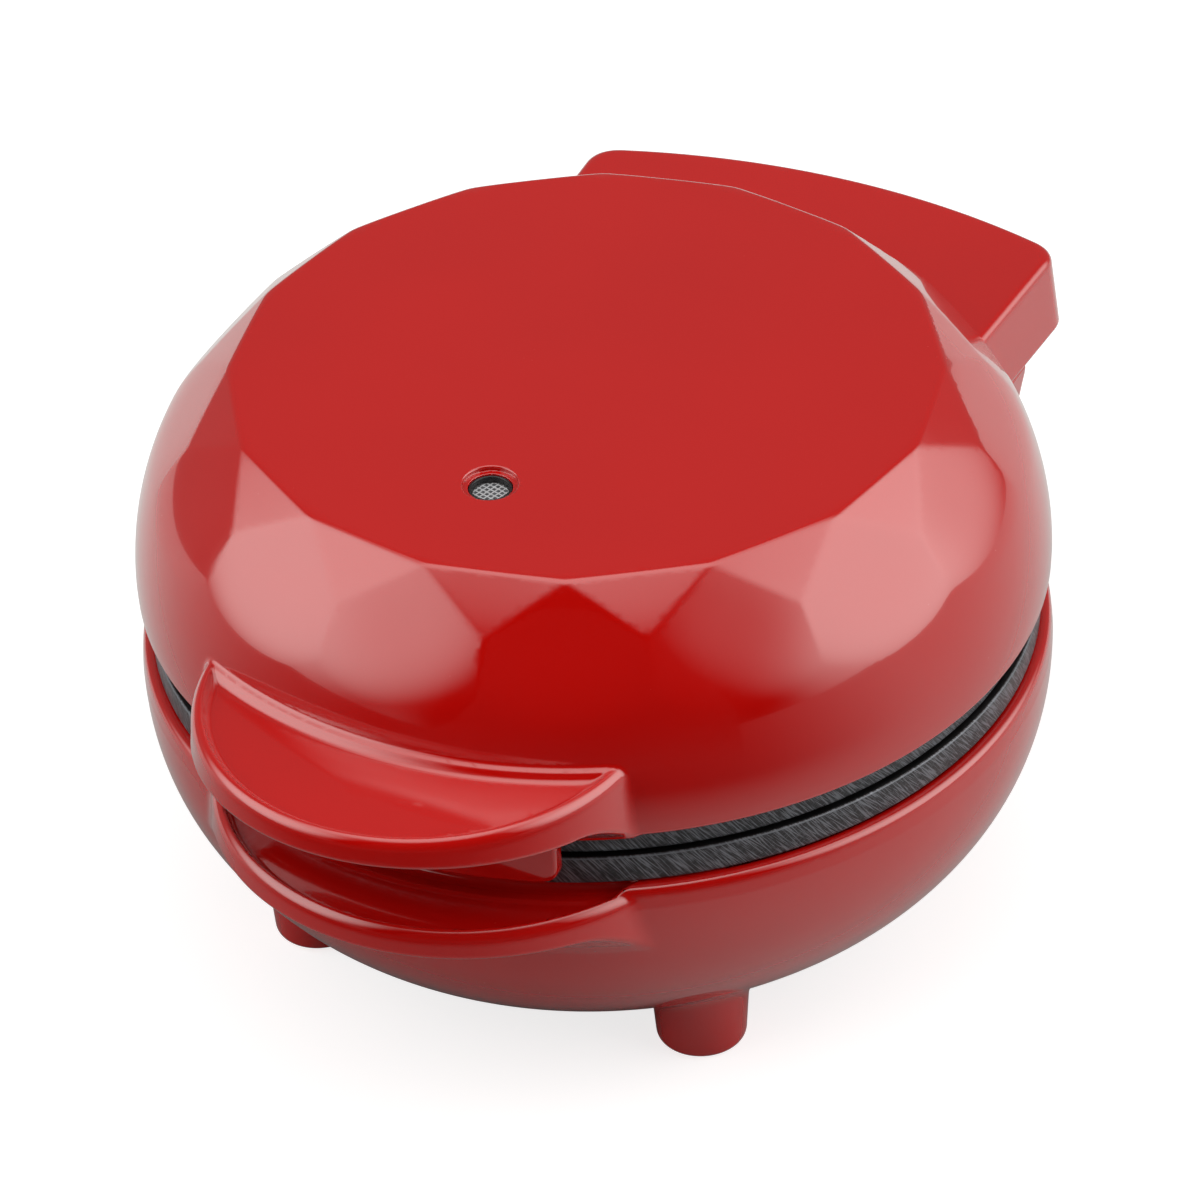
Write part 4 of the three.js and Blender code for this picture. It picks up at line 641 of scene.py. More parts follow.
def cut_in_triangles(points, quads):
    """Each quad cut along its shorter diagonal."""
    first = np.linalg.norm(points[quads[:, 0]] - points[quads[:, 2]], axis=1)
    second = np.linalg.norm(points[quads[:, 1]] - points[quads[:, 3]], axis=1)
    turned = np.where((first <= second)[:, None], quads, np.roll(quads, -1, axis=1))
    return np.concatenate([turned[:, [0, 1, 2]], turned[:, [0, 2, 3]]])


def refined(shape, points, triangles):
    """Edges across which the surface turns sharply get a point in the middle."""
    normals = unit(slope_of(shape, points))
    edges = np.sort(triangles[:, [0, 1, 1, 2, 2, 0]].reshape(-1, 2), axis=1)
    pairs, which = np.unique(edges[:, 0] * len(points) + edges[:, 1], return_inverse=True)
    a, b = pairs // len(points), pairs % len(points)
    turn = (normals[a] * normals[b]).sum(axis=1)
    length = np.linalg.norm(points[a] - points[b], axis=1)
    split = (turn < math.cos(SHARP_TURN)) & (length > SMALLEST_EDGE)
    new_ids = np.where(split, len(points) + np.cumsum(split) - 1, -1)
    middles = settled(shape, (points[a[split]] + points[b[split]]) / 2)
    mids = new_ids[which.reshape(-1)].reshape(-1, 3)
    marks = (mids >= 0).sum(axis=1)
    roll = np.zeros(len(triangles), dtype=int)
    roll[marks == 1] = np.argmax(mids[marks == 1] >= 0, axis=1)
    roll[marks == 2] = (np.argmax(mids[marks == 2] < 0, axis=1) + 1) % 3
    order = (np.arange(3)[None, :] + roll[:, None]) % 3
    tri = np.take_along_axis(triangles, order, axis=1)
    mid = np.take_along_axis(mids, order, axis=1)
    (p, q, r), (m, n, o) = tri.T, mid.T
    patterns = {
        0: [(p, q, r)],
        1: [(p, m, r), (m, q, r)],
        2: [(m, q, n), (p, m, n), (p, n, r)],
        3: [(p, m, o), (m, q, n), (o, n, r), (m, n, o)],
    }
    made = [np.stack(corner, axis=1)[marks == k] for k, tris in patterns.items() for corner in tris]
    return np.concatenate([points, middles]), np.concatenate(made)


def surface(shape, xs, ys, zs):
    points, quads = surface_nets(shape, xs, ys, zs)
    points = settled(shape, points)
    for _ in range(RELAX_ROUNDS):
        points = settled(shape, relaxed(points, quads))
    triangles = cut_in_triangles(points, quads)
    for _ in range(REFINE_ROUNDS):
        points, triangles = refined(shape, points, triangles)
    return points, triangles, unit(slope_of(shape, points))


def new_object(name, points, faces, normals=None):
    """A mesh from points in millimetres round the body's axis, moved to the frame's metres."""
    in_frame = points * METRES + np.array([0, BODY_AXIS_Y, 0])
    mesh = bpy.data.meshes.new(name)
    mesh.from_pydata(in_frame.tolist(), [], faces.tolist())
    mesh.update()
    mesh.shade_smooth()
    if normals is not None:
        mesh.normals_split_custom_set_from_vertices(normals.tolist())
    made = bpy.data.objects.new(name, mesh)
    bpy.context.scene.collection.objects.link(made)
    return made


def place(made, body, node, slot_name):
    """Puts a piece in the place of a node, in the material of its slot."""
    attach(made, body)
    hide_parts(node)
    made.data.materials.append(materials[slot_name])


# Housings and plates

def lid_housing():
    front = -(LID_HANDLE["centre"] + LID_HANDLE["radius"]) - MARGIN
    reach = BODY_RADIUS + MARGIN
    lamp_room = LAMP_RECESS_RADIUS + FINE_REACH
    lamp_front, lamp_back = LAMP_Y - lamp_room, LAMP_Y + lamp_room
    xs = grid_lines(-reach, reach, [(-lamp_room, lamp_room, LAMP_STEP)])
    ys = grid_lines(front, HOOD_REAR_Y + MARGIN, [
        (front, HANDLE_BACK_Y, HANDLE_STEP), (lamp_front, lamp_back, LAMP_STEP)])
    zs = grid_lines(SKIRT_BOTTOM_Z - MARGIN, TABLE_Z + MARGIN, [
        (LID_RIM_Z - FINE_REACH, LID_RIM_Z + FINE_REACH, FINE_STEP),
        (LID_HANDLE["top"] - HANDLE_DEPTH, LID_HANDLE["top"] + FINE_REACH, HANDLE_STEP),
        (TABLE_Z - LAMP_RECESS - LAMP_EDGE, TABLE_Z + LAMP_EDGE, LAMP_STEP)])
    made = new_object("lid_shell", *surface(lid_shape, xs, ys, zs))
    place(made, "lid", "lid_housing", "red_gloss")


def base_housing():
    front = -(BASE_HANDLE["centre"] + BASE_HANDLE["radius"]) - MARGIN
    reach = BODY_RADIUS + MARGIN
    xs = grid_lines(-reach, reach)
    ys = grid_lines(front, HINGE_Y + BARREL_RADIUS + MARGIN, [
        (front, HANDLE_BACK_Y, HANDLE_STEP),
        (DUCT_REAR_Y - FINE_REACH, WEB_REAR_Y + FINE_REACH, FINE_STEP)])
    zs = grid_lines(-MARGIN, HINGE_Z + BARREL_RADIUS + MARGIN, [
        (BASE_HANDLE["top"] - HANDLE_DEPTH, BOWL_RIM_Z + FINE_REACH, HANDLE_STEP)])
    made = new_object("base_shell", *surface(base_shape, xs, ys, zs))
    place(made, "base", "base_housing", "red_gloss")


def cooking_plates():
    reach = LOWER_PLATE_RADIUS + MARGIN
    sides = grid_lines(-reach, reach)
    depth = PAN_DEPTH + OUTER_BOSS_LENGTH + MARGIN
    low = grid_lines(LOWER_PARTING_Z - depth, LOWER_PARTING_Z + MARGIN)
    high = grid_lines(UPPER_PARTING_Z - MARGIN, UPPER_PARTING_Z + depth)
    lower = new_object("lower_waffle_plate", *surface(lower_plate_shape, sides, sides, low))
    upper = new_object("upper_waffle_plate", *surface(upper_plate_shape, sides, sides, high))
    place(lower, "base", "lower_cooking_plate", "plate_coat")
    place(upper, "lid", "upper_cooking_plate", "plate_coat")


# Small visible pieces

PAD_STEPS = 40
GLAND_STEPS = 48
CREASE = math.radians(40)
BEVEL = 0.3
PAD_GROOVE, PAD_GROOVE_DEPTH, PAD_EDGE = 0.55, 0.25, 0.3


def indicator_lens():
    reach = LENS_FLANGE_RADIUS + 4 * LENS_STEP
    xs = np.arange(-reach, reach, LENS_STEP)
    zs = np.arange(LENS_FLANGE_Z[0] - 3 * LENS_STEP, LENS_COLLAR_Z + 4 * LENS_STEP, LENS_STEP)
    points, quads = surface_nets(lens_shape, xs, LAMP_Y + xs, zs)
    points = settled(lens_shape, points)
    made = new_object("indicator_window", points, cut_in_triangles(points, quads))
    place(made, "lid", "indicator_lens", "lens_grey")


def turned_piece(name, outline, steps, upright):
    """Spins an outline of [radius, height] pairs; a closed one makes a ring, an open one ends on the axis."""
    ring = outline[0][0] > 0
    rows = [(r, z) for r, z in outline if r > 0]
    turns = [2 * math.pi * i / steps for i in range(steps)]
    points = [upright(r * math.cos(turn), r * math.sin(turn), z) for turn in turns for r, z in rows]
    size = len(rows)
    faces = []
    for i in range(steps):
        here, there = i * size, (i + 1) % steps * size
        for j in range(size if ring else size - 1):
            k = (j + 1) % size
            faces.append((here + j, there + j, there + k))
            faces.append((here + j, there + k, here + k))
        if not ring:
            faces.append((len(points), there, here))
            faces.append((len(points) + 1, here + size - 1, there + size - 1))
    if not ring:
        points += [upright(0, 0, outline[0][1]), upright(0, 0, outline[-1][1])]
    made = new_object(name, np.array(points, float), np.array(faces))
    made.data.set_sharp_from_angle(angle=CREASE)
    return made


def foot_pads():
    for side in ("front_left", "front_right", "rear_right", "rear_left"):
        low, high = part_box("foot_pad_" + side)
        centre = (low + high) / 2 / METRES
        radius = (high.x - low.x) / 2 / METRES
        top = high.z / METRES
        groove, depth, edge = radius * PAD_GROOVE, top * PAD_GROOVE_DEPTH, top * PAD_EDGE

        def upright(x, y, z):
            return (centre.x + x, centre.y - BODY_AXIS_Y / METRES + y, z)

        outline = [
            (0, depth), (groove - depth, depth), (groove, 0), (radius - edge, 0),
            (radius - edge * BEVEL, edge * BEVEL), (radius, edge), (radius, top), (0, top),
        ]
        made = turned_piece("rubber_foot_" + side, outline, PAD_STEPS, upright)
        place(made, "base", "foot_pad_" + side, "rubber")


def cord_gland():
    low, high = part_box("cord_inlet_gland")
    rear, front = (high.y - BODY_AXIS_Y) / METRES, (low.y - BODY_AXIS_Y) / METRES
    flange_depth, lip_depth, edge = 2.2, 1.6, 0.5
    flange, lip, neck, bore = 7.0, 6.0, 4.6, 3.3

    def upright(x, y, z):
        return (x, z, INLET_Z + y)

    outline = [
        (bore, front), (lip - edge, front), (lip, front + edge), (lip, front + lip_depth),
        (neck, front + lip_depth), (neck, rear - flange_depth), (flange, rear - flange_depth),
        (flange, rear - edge), (flange - edge * BEVEL, rear - edge * BEVEL), (flange - edge, rear),
        (bore + 2 * edge, rear), (bore + edge, rear - edge * BEVEL), (bore, rear - edge),
    ]
    made = turned_piece("inlet_gland", outline[::-1], GLAND_STEPS, upright)
    place(made, "base", "cord_inlet_gland", "rubber")


# Materials

def new_material(name, colour, roughness, metallic=0.0):
    material = bpy.data.materials.new(name)
    material.use_nodes = True
    shader = material.node_tree.nodes["Principled BSDF"]
    shader.inputs["Base Color"].default_value = (*colour, 1)
    shader.inputs["Roughness"].default_value = roughness
    shader.inputs["Metallic"].default_value = metallic
    return material, material.node_tree, shader


def add(tree, kind, inputs, **settings):
    """A node whose inputs are set to values, or linked to sockets."""
    node = tree.nodes.new("ShaderNode" + kind)
    for key, value in settings.items():
        setattr(node, key, value)
    for key, value in inputs.items():
        if isinstance(value, bpy.types.NodeSocket):
            tree.links.new(value, node.inputs[key])
        else:
            node.inputs[key].default_value = value
    return node


def object_place(tree):
    return add(tree, "TexCoord", {}).outputs["Object"]


def noise(tree, size, detail=2.0, stretch=(1, 1, 1), turn=(0, 0, 0), where=None):
    """Noise with features of a size in millimetres, drawn out along turned axes."""
    source = object_place(tree) if where is None else where
    spread = add(tree, "Mapping", {"Vector": source, "Rotation": turn, "Scale": stretch},
                 vector_type="TEXTURE")
    grain = {"Vector": spread.outputs[0], "Scale": 1 / (size * METRES), "Detail": detail}
    return add(tree, "TexNoise", grain).outputs["Fac"]


def remap(tree, value, low, high, to_low, to_high, ease="LINEAR"):
    inputs = {0: value, 1: low, 2: high, 3: to_low, 4: to_high}
    return add(tree, "MapRange", inputs, interpolation_type=ease).outputs[0]


def tinted(tree, share, first, second):
    inputs = {0: share, 6: (*first, 1) if isinstance(first, tuple) else first, 7: (*second, 1)}
    return add(tree, "Mix", inputs, data_type="RGBA").outputs[2]


def combine(tree, how, first, second=0.0):
    return add(tree, "Math", {0: first, 1: second}, operation=how).outputs[0]


def times(tree, first, second):
    return combine(tree, "MULTIPLY", first, second)


def measured(tree, how, first, second=(0, 0, 0)):
    """A number worked out from vectors."""
    return add(tree, "VectorMath", {0: first, 1: second}, operation=how).outputs["Value"]


def drive(tree, shader, **sockets):
    for name, value in sockets.items():
        tree.links.new(value, shader.inputs[name.replace("_", " ").title()])


def bumped(tree, shader, height, depth):
    """Bump with a depth in millimetres."""
    bump = add(tree, "Bump", {"Height": height, "Distance": depth * METRES, "Strength": 1})
    tree.links.new(bump.outputs[0], shader.inputs["Normal"])


# Span of a noise that spreads it evenly
SPREAD = (0.3, 0.7)

RED = (0.52, 0.0034, 0.002)
RED_DEEP = (0.49, 0.0028, 0.0016)
COAT_PLAIN = (0.03, 0.031, 0.035)
COAT_PALE = (0.026, 0.027, 0.031)
COAT_DARK = (0.012, 0.0125, 0.015)
# Near-black of the painted shade on the parting between the plates
PAINTED_SHADE_COLOUR = (0.002, 0.002, 0.002)
BARE_METAL = (0.2, 0.21, 0.235)


def red_gloss():
    """Red plastic under a clear gloss coat."""
    material, tree, shader = new_material("red_gloss", RED, 0.15)
    shader.inputs["Coat Weight"].default_value = 1
    shader.inputs["Coat Roughness"].default_value = 0.03
    shader.inputs["Coat IOR"].default_value = 1.6
    cloud = remap(tree, noise(tree, size=40, detail=3), *SPREAD, 0, 1)
    polish = remap(tree, noise(tree, size=11, detail=4), 0.35, 0.65, to_low=0.1, to_high=0.16)
    speck = remap(tree, noise(tree, size=0.5, detail=1), 0.7, 0.8, to_low=0, to_high=0.12)
    rough = combine(tree, "ADD", polish, speck)
    drive(tree, shader, base_color=tinted(tree, cloud, RED_DEEP, RED), roughness=rough)
    bumped(tree, shader, noise(tree, size=2.6, detail=1), depth=0.0045)
    return material


# Width of the plates' edge band, seen from above
EDGE_BAND = 1.5


def edge_share(tree, place):
    """One on the plates' outer edges, zero inside them."""
    radius = add(tree, "VectorMath", {0: place, 1: (0, -BODY_AXIS_Y, 0)}, operation="ADD").outputs[0]
    flat = add(tree, "VectorMath", {0: radius, 1: (1, 1, 0)}, operation="MULTIPLY").outputs[0]
    out = measured(tree, "LENGTH", flat)
    inner = (UPPER_PLATE_RADIUS - EDGE_BAND) * METRES
    return remap(tree, out, inner, inner + METRES, 0, 1)


def height_band(tree, height, low, high):
    """One between two heights in millimetres, zero beyond them."""
    ease = 0.04
    above = remap(tree, height, (low - ease) * METRES, (low + ease) * METRES, 0, 1)
    below = remap(tree, height, (high - ease) * METRES, (high + ease) * METRES, 1, 0)
    return times(tree, above, below)


# Heights of the bare line on the lower plate's edge and of the painted shade on the parting above it
EDGE_WEAR = (LOWER_PARTING_Z - 0.3, LOWER_PARTING_Z - 0.12)
PAINTED_SHADE_HEIGHTS = (LOWER_PARTING_Z - 0.05, UPPER_PARTING_Z + 0.05)

# Scratches on the plates' edges: slant in degrees, width in millimetres, strength
HATCHES = ((-48, 0.17, 1), (-55, 0.22, 0.9), (38, 0.15, 0.25))
HATCH_LENGTH = 26
HATCH_SPAN = (0.55, 0.6)


def edge_hatch(tree, place):
    """Fine slanting scratches round the plates' edge bands."""
    parts = add(tree, "SeparateXYZ", {0: place}).outputs
    along = combine(tree, "SUBTRACT", parts[1], BODY_AXIS_Y)
    turn = combine(tree, "ARCTAN2", along, parts[0])
    run = times(tree, turn, LOWER_PLATE_RADIUS * METRES)
    band = add(tree, "CombineXYZ", {0: run, 1: parts[2]}).outputs[0]
    strokes = 0.0
    for lean, width, strength in HATCHES:
        slant = (0, 0, math.radians(lean))
        stroke = noise(tree, width, stretch=(HATCH_LENGTH, 1, 1), turn=slant, where=band)
        strokes = combine(tree, "MAXIMUM", strokes, remap(tree, stroke, *HATCH_SPAN, 0, strength))
    return times(tree, strokes, edge_share(tree, place))


def plate_coat():
    material, tree, shader = new_material("plate_coat", COAT_PLAIN, 0.4)
    place = object_place(tree)
    scratch = edge_hatch(tree, place)
    speckle = remap(tree, noise(tree, size=0.25), 0.45, 0.75, 0, 1)
    coat = tinted(tree, speckle, COAT_DARK, COAT_PALE)
    height = add(tree, "SeparateXYZ", {0: place}).outputs["Z"]
    edge = edge_share(tree, place)
    worn, dark = (times(tree, edge, height_band(tree, height, *band)) for band in (EDGE_WEAR, PAINTED_SHADE_HEIGHTS))
    scratch = combine(tree, "MAXIMUM", scratch, times(tree, worn, 0.8))
    # The parting between the plates is painted near-black as painted shade, with no scratches on it
    scratch = times(tree, scratch, combine(tree, "SUBTRACT", 1, dark))
    coat = tinted(tree, dark, coat, PAINTED_SHADE_COLOUR)
    drive(tree, shader, base_color=tinted(tree, scratch, coat, BARE_METAL),
          metallic=times(tree, scratch, 0.5))
    sheen = remap(tree, noise(tree, size=3, detail=3), *SPREAD, to_low=0.32, to_high=0.46)
    drive(tree, shader, roughness=sheen)
    bumped(tree, shader, combine(tree, "SUBTRACT", speckle, scratch), depth=0.012)
    return material


def metal(name, colour, roughness, streak):
    """Sheet or bar with fine streaks and cloudy wear."""
    material, tree, shader = new_material(name, colour, roughness, 1)
    lines = noise(tree, size=0.3, stretch=streak)
    cloud = noise(tree, size=6, detail=3)
    dark = tuple(0.72 * value for value in colour)
    worn = remap(tree, times(tree, lines, cloud), 0.15, 0.4, 0, 1)
    drive(tree, shader, base_color=tinted(tree, worn, dark, colour))
    drive(tree, shader, roughness=remap(tree, lines, *SPREAD, roughness * 0.8, roughness * 1.3))
    bumped(tree, shader, lines, depth=0.01)
    return material


def grained(name, colour, roughness, grain, depth, cloudy):
    """Matte plastic, rubber or ceramic with a fine grain."""
    material, tree, shader = new_material(name, colour, roughness)
    fine = noise(tree, grain, detail=3)
    cloud = remap(tree, noise(tree, 12 * grain), *SPREAD, 0, 1)
    drive(tree, shader, base_color=tinted(tree, cloud, tuple(cloudy * v for v in colour), colour))
    drive(tree, shader, roughness=remap(tree, fine, *SPREAD, roughness * 0.9, min(1, roughness * 1.12)))
    bumped(tree, shader, fine, depth)
    return material


def lamp_glass():
    material, tree, shader = new_material("lamp_glass", (0.9, 0.46, 0.25), 0.06)
    shader.inputs["Transmission Weight"].default_value = 0.7
    tint = remap(tree, noise(tree, size=2), *SPREAD, 0, 1)
    drive(tree, shader, base_color=tinted(tree, tint, (0.85, 0.4, 0.2), (0.95, 0.55, 0.32)))
    bumped(tree, shader, noise(tree, size=0.8, detail=1), depth=0.01)
    return material


LENS_DARK, LENS_DUSK = (0.05, 0.052, 0.056), (0.12, 0.125, 0.135)
LENS_SILVER = (0.5, 0.51, 0.53)
LENS_BLACK = (0.014, 0.014, 0.015)
LENS_LINE_SPAN = (0.32, 0.39)
LENS_BORDER = (LENS_RADIUS - 0.14, LENS_RADIUS - 0.08)


def lens_grey():
    """Silver lattice over dark squares, in a black collar."""
    material, tree, shader = new_material("lens_grey", (0.3, 0.31, 0.33), 0.22)
    parts = add(tree, "SeparateXYZ", {0: object_place(tree)}).outputs
    aside = times(tree, parts[0], 1 / METRES)
    back = times(tree, parts[1], 1 / METRES)
    back = combine(tree, "SUBTRACT", back, BODY_AXIS_Y / METRES + LAMP_Y)
    lattice = 0.0
    for turn in (LENS_TURN, LENS_TURN + math.pi / 2):
        first = times(tree, aside, math.cos(turn) / LENS_PITCH)
        second = times(tree, back, math.sin(turn) / LENS_PITCH)
        cell = combine(tree, "FRACT", combine(tree, "ADD", first, second))
        away = combine(tree, "ABSOLUTE", combine(tree, "SUBTRACT", cell, 0.5))
        lattice = combine(tree, "MAXIMUM", lattice, away)
    lines = remap(tree, lattice, *LENS_LINE_SPAN, 0, 1)
    cloud = remap(tree, noise(tree, size=0.4), *SPREAD, 0, 1)
    seen = tinted(tree, lines, tinted(tree, cloud, LENS_DARK, LENS_DUSK), LENS_SILVER)
    squares = combine(tree, "ADD", combine(tree, "POWER", aside, 2), combine(tree, "POWER", back, 2))
    rim = remap(tree, combine(tree, "SQRT", squares), *LENS_BORDER, 0, 1)
    drive(tree, shader, base_color=tinted(tree, rim, seen, LENS_BLACK))
    drive(tree, shader, roughness=remap(tree, cloud, 0, 1, to_low=0.2, to_high=0.36))
    bumped(tree, shader, lines, depth=0.02)
    return material


def glass_fibre():
    material, tree, shader = new_material("glass_fibre", (0.78, 0.72, 0.56), 0.75)
    place = object_place(tree)
    braids = []
    for lean in (45, -45):
        spread = add(tree, "Mapping", {"Vector": place, "Rotation": (math.radians(lean),) * 3})
        wave = {"Vector": spread.outputs[0], "Scale": 380, "Distortion": 0.6, "Detail": 1}
        braids.append(add(tree, "TexWave", wave).outputs["Fac"])
    weave = combine(tree, "MAXIMUM", *braids)
    drive(tree, shader, base_color=tinted(tree, weave, (0.5, 0.44, 0.31), (0.85, 0.8, 0.66)))
    bumped(tree, shader, weave, depth=0.12)
    return material


# Metals: name, colour, roughness, how far the streaks are drawn out along each axis
METALS = (
    ("steel", (0.56, 0.57, 0.59), 0.32, (1, 1, 6)),
    ("heater_sheath", (0.2, 0.18, 0.155), 0.5, (4, 4, 1)),
    ("shield_sheen", (0.72, 0.73, 0.74), 0.26, (1, 24, 1)),
)

# Matte pieces: name, colour, roughness, grain size, grain depth, brightness of the darker clouds
MATTES = (
    ("ceramic", (0.8, 0.76, 0.68), 0.62, 0.35, 0.03, 0.9),
    ("black_plastic", (0.014, 0.014, 0.015), 0.5, 0.3, 0.02, 0.8),
    ("white_plastic", (0.74, 0.71, 0.65), 0.5, 0.3, 0.02, 0.92),
    ("rubber", (0.012, 0.012, 0.012), 0.82, 0.22, 0.04, 0.6),
    ("card_cloth", (0.02, 0.02, 0.02), 0.95, 1.5, 0.05, 0.8),
)


def all_materials():
    made = {
        "red_gloss": red_gloss(), "plate_coat": plate_coat(), "lamp_glass": lamp_glass(),
        "lens_grey": lens_grey(), "glass_fibre": glass_fibre(),
    }
    made.update({row[0]: metal(*row) for row in METALS})
    made.update({row[0]: grained(*row) for row in MATTES})
    return made


def dress_nodes():
    """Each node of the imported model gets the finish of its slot."""
    slots = {entry["node"]: entry["material_slot"] for entry in frame["record"]["subparts"]}
    for name, node in frame["nodes"].items():
        node.data.materials.clear()
        node.data.materials.append(materials[slots[name]])


# Camera: its place, from the outlines of the round rims and the flat top

CAMERA_AZIMUTH = math.radians(26.994)
CAMERA_ELEVATION = math.radians(36.575)
CAMERA_ROLL = math.radians(-2.653)
CAMERA_DISTANCE = 0.858117
CAMERA_TARGET = Vector((0.001361, -0.001501 + BODY_AXIS_Y, 0.045))
FOCAL_PIXELS = 6156.59
FRAME_PIXELS = 1200
SENSOR = 36


def direction(azimuth, elevation):
    """From the object towards a place at an azimuth from the front and an elevation."""
    level = math.cos(elevation)
    return Vector((math.sin(azimuth) * level, -math.cos(azimuth) * level, math.sin(elevation)))


def add_camera():
    back = direction(CAMERA_AZIMUTH, CAMERA_ELEVATION)
    place = CAMERA_TARGET + back * CAMERA_DISTANCE
    level = (-back).cross(Vector((0, 0, 1))).normalized()
    rise = level.cross(-back)
    right = level * math.cos(CAMERA_ROLL) + rise * math.sin(CAMERA_ROLL)
    up = rise * math.cos(CAMERA_ROLL) - level * math.sin(CAMERA_ROLL)
    camera = bpy.data.objects.new("camera", bpy.data.cameras.new("camera"))
    camera.matrix_world = Matrix([*zip(right, up, back, place), (0, 0, 0, 1)])
    camera.data.sensor_width = SENSOR
    camera.data.lens = FOCAL_PIXELS * SENSOR / FRAME_PIXELS
    bpy.context.scene.collection.objects.link(camera)
    bpy.context.scene.camera = camera


# Studio: soft lights on both sides and overhead, a room that is dark in front, a pale floor

# Soft lights: azimuth, elevation, angles at which the full core and the light end, radiance
SOFT_LIGHTS = ((-58, 30, 5, 41, 2.45), (110, 26, 5, 46, 2.65), (0, 90, 12, 38, 1.75))
LIGHT_TINT = (1, 0.985, 0.96, 1)
ROOM_LIGHT = (0.2, 0.15)
DARK_FACING = (0.62, 0.78)
DARK_ELEVATION = 12
FLOOR_RADIUS = 4
FLOOR_STEPS = 96
FLOOR_PALE = 0.42
FLOOR_SHEEN = 0.76

# Dark card in front: profile as (distance, height), azimuths of its ends at each height
CARD_PROFILE = ((300, 1.2), (345, 12), (370, 45), (380, 100), (380, 420))
CARD_LEFT = (-22, -18, -12, -4, 6)
CARD_RIGHT = 56
CARD_STEPS = 40

# Grey mat over the floor, seen only in reflections: lighter on the right, towards the right soft light, as
# painted light; lighter behind, and darker in front past a distance
MAT_Z = 0.6
MAT_GREY = (0.27, 0.56)
MAT_BEHIND_AZIMUTH = math.radians(207)
MAT_BEHIND_FACING = (-0.25, 0.6)
MAT_BEHIND_GREY = 0.62
MAT_PAINTED_LIGHT_AZIMUTH = math.radians(100)
MAT_PAINTED_LIGHT_FACING = (0, 0.9)
MAT_DARK = 0.93
MAT_DARK_FROM = (0.085, 0.2)
MAT_DARK_AZIMUTH = math.radians(16)
MAT_DARK_FACING = (0.1, 0.85)


def soft_light(tree, place, light):
    """Brightness of a light that is full in its core and fades out to its edge."""
    azimuth, elevation, core, edge = (math.radians(angle) for angle in light[:-1])
    towards = direction(azimuth, elevation)
    facing = measured(tree, "DOT_PRODUCT", place, towards)
    return remap(tree, facing, math.cos(edge), math.cos(core), 0, light[-1], "SMOOTHSTEP")


def add_room():
    world = bpy.data.worlds.new("room")
    bpy.context.scene.world = world
    world.use_nodes = True
    tree = world.node_tree
    place = add(tree, "TexCoord", {}).outputs["Generated"]
    height = add(tree, "SeparateXYZ", {0: place}).outputs["Z"]
    room = remap(tree, height, 0, 1, *ROOM_LIGHT, "SMOOTHSTEP")
    ahead = direction(CAMERA_AZIMUTH, math.radians(DARK_ELEVATION))
    facing = measured(tree, "DOT_PRODUCT", place, ahead)
    level = times(tree, room, remap(tree, facing, *DARK_FACING, 1, 0, "SMOOTHSTEP"))
    for light in SOFT_LIGHTS:
        level = combine(tree, "ADD", level, soft_light(tree, place, light))
    background = tree.nodes["Background"]
    background.inputs["Color"].default_value = LIGHT_TINT
    tree.links.new(level, background.inputs["Strength"])


def seen_in_gloss(name, points, faces, material):
    """A part of the stage that only reflections see."""
    made = new_object(name, np.array(points), np.array(faces))
    made.data.materials.append(material)
    for rays in ("camera", "diffuse", "transmission", "shadow"):
        setattr(made, "visible_" + rays, False)
    made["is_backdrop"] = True


def add_card(cloth):
    points, faces = [], []
    for (distance, height), left in zip(CARD_PROFILE, CARD_LEFT):
        for i in range(CARD_STEPS + 1):
            turn = left + (CARD_RIGHT - left) * i / CARD_STEPS
            place = direction(math.radians(turn), 0) * distance
            points.append((place.x, place.y, height))
    for row in range(len(CARD_PROFILE) - 1):
        for i in range(CARD_STEPS):
            here = row * (CARD_STEPS + 1) + i
            faces.append((here, here + 1, here + CARD_STEPS + 2, here + CARD_STEPS + 1))
    seen_in_gloss("dark_card", points, faces, cloth)


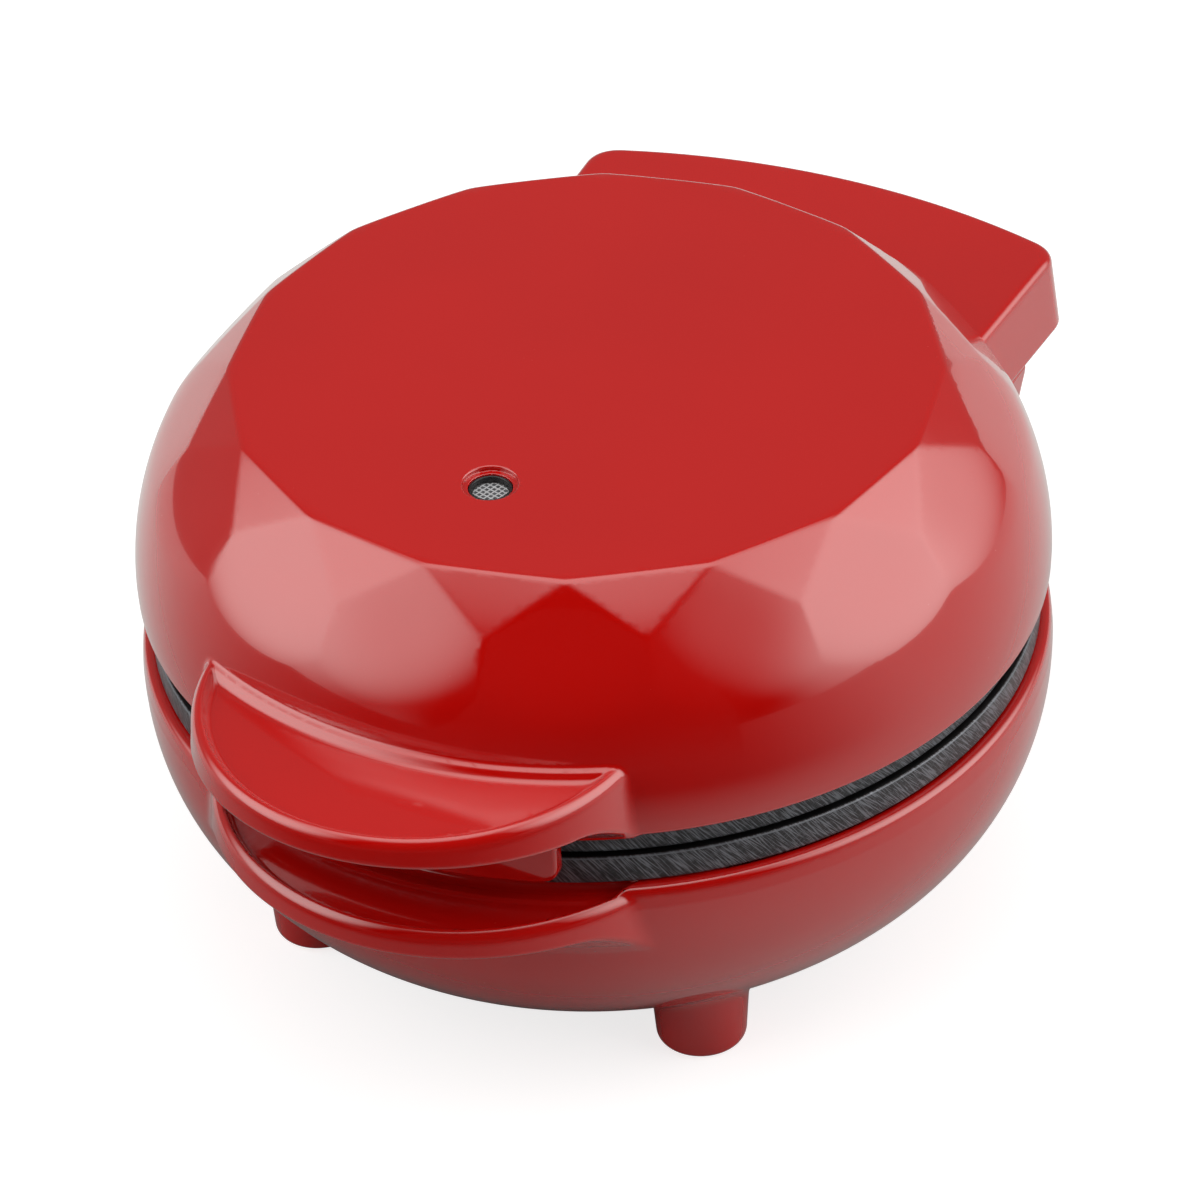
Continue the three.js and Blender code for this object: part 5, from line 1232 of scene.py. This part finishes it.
def add_mat():
    greys = [(value,) * 3 for value in MAT_GREY]
    material, tree, shader = new_material("mat_cloth", greys[0], 0.95)
    shader.inputs["Specular IOR Level"].default_value = 0
    centred = add(tree, "VectorMath", {0: object_place(tree), 1: (0, -BODY_AXIS_Y, 0)}).outputs[0]
    out = measured(tree, "LENGTH", centred)
    away = remap(tree, out, *MAT_DARK_FROM, 0, MAT_DARK, "SMOOTHSTEP")
    heading = add(tree, "VectorMath", {0: centred}, operation="NORMALIZE").outputs[0]

    def towards(azimuth, facing):
        share = measured(tree, "DOT_PRODUCT", heading, direction(azimuth, 0))
        return remap(tree, share, *facing, 0, 1, "SMOOTHSTEP")

    dark = times(tree, away, towards(MAT_DARK_AZIMUTH, MAT_DARK_FACING))
    # Lighter towards the right soft light: painted light
    grey = tinted(tree, towards(MAT_PAINTED_LIGHT_AZIMUTH, MAT_PAINTED_LIGHT_FACING), *greys)
    grey = tinted(tree, towards(MAT_BEHIND_AZIMUTH, MAT_BEHIND_FACING), grey, (MAT_BEHIND_GREY,) * 3)
    drive(tree, shader, base_color=tinted(tree, dark, grey, (0, 0, 0)))
    reach, centre_y = FLOOR_RADIUS / METRES, -BODY_AXIS_Y / METRES
    turns = [2 * math.pi * i / FLOOR_STEPS for i in range(FLOOR_STEPS)]
    points = [(reach * math.cos(turn), centre_y + reach * math.sin(turn), MAT_Z) for turn in turns]
    seen_in_gloss("grey_mat", points, [range(FLOOR_STEPS)], material)


def add_floor():
    bpy.ops.mesh.primitive_circle_add(vertices=FLOOR_STEPS, radius=FLOOR_RADIUS, fill_type="NGON")
    floor = bpy.context.object
    floor.name = "floor"
    pale = (FLOOR_PALE,) * 3
    material, tree, shader = new_material("floor", pale, 0.9)
    shader.inputs["Specular IOR Level"].default_value = 0.1
    mottle = remap(tree, noise(tree, size=300), *SPREAD, 0, 1)
    drive(tree, shader, base_color=tinted(tree, mottle, tuple(0.98 * v for v in pale), pale))
    rays = add(tree, "LightPath", {}).outputs
    seen = combine(tree, "MAXIMUM", rays["Is Camera Ray"], rays["Is Glossy Ray"])
    seen = combine(tree, "MAXIMUM", seen, rays["Is Transmission Ray"])
    shader.inputs["Emission Color"].default_value = (1, 1, 1, 1)
    drive(tree, shader, emission_strength=times(tree, seen, FLOOR_SHEEN))
    floor.data.materials.append(material)
    floor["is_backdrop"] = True


def write_sizes():
    def rows(box):
        return [[float(value) for value in corner] for corner in box]

    {"cad": rows(cad_box), "visual": rows(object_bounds())}


materials = all_materials()
add_camera()
dress_nodes()
lid_housing()
base_housing()
cooking_plates()
indicator_lens()
foot_pads()
cord_gland()
add_room()
add_card(materials["card_cloth"])
add_mat()
add_floor()
bpy.context.scene.view_settings.view_transform = "Standard"
write_sizes()
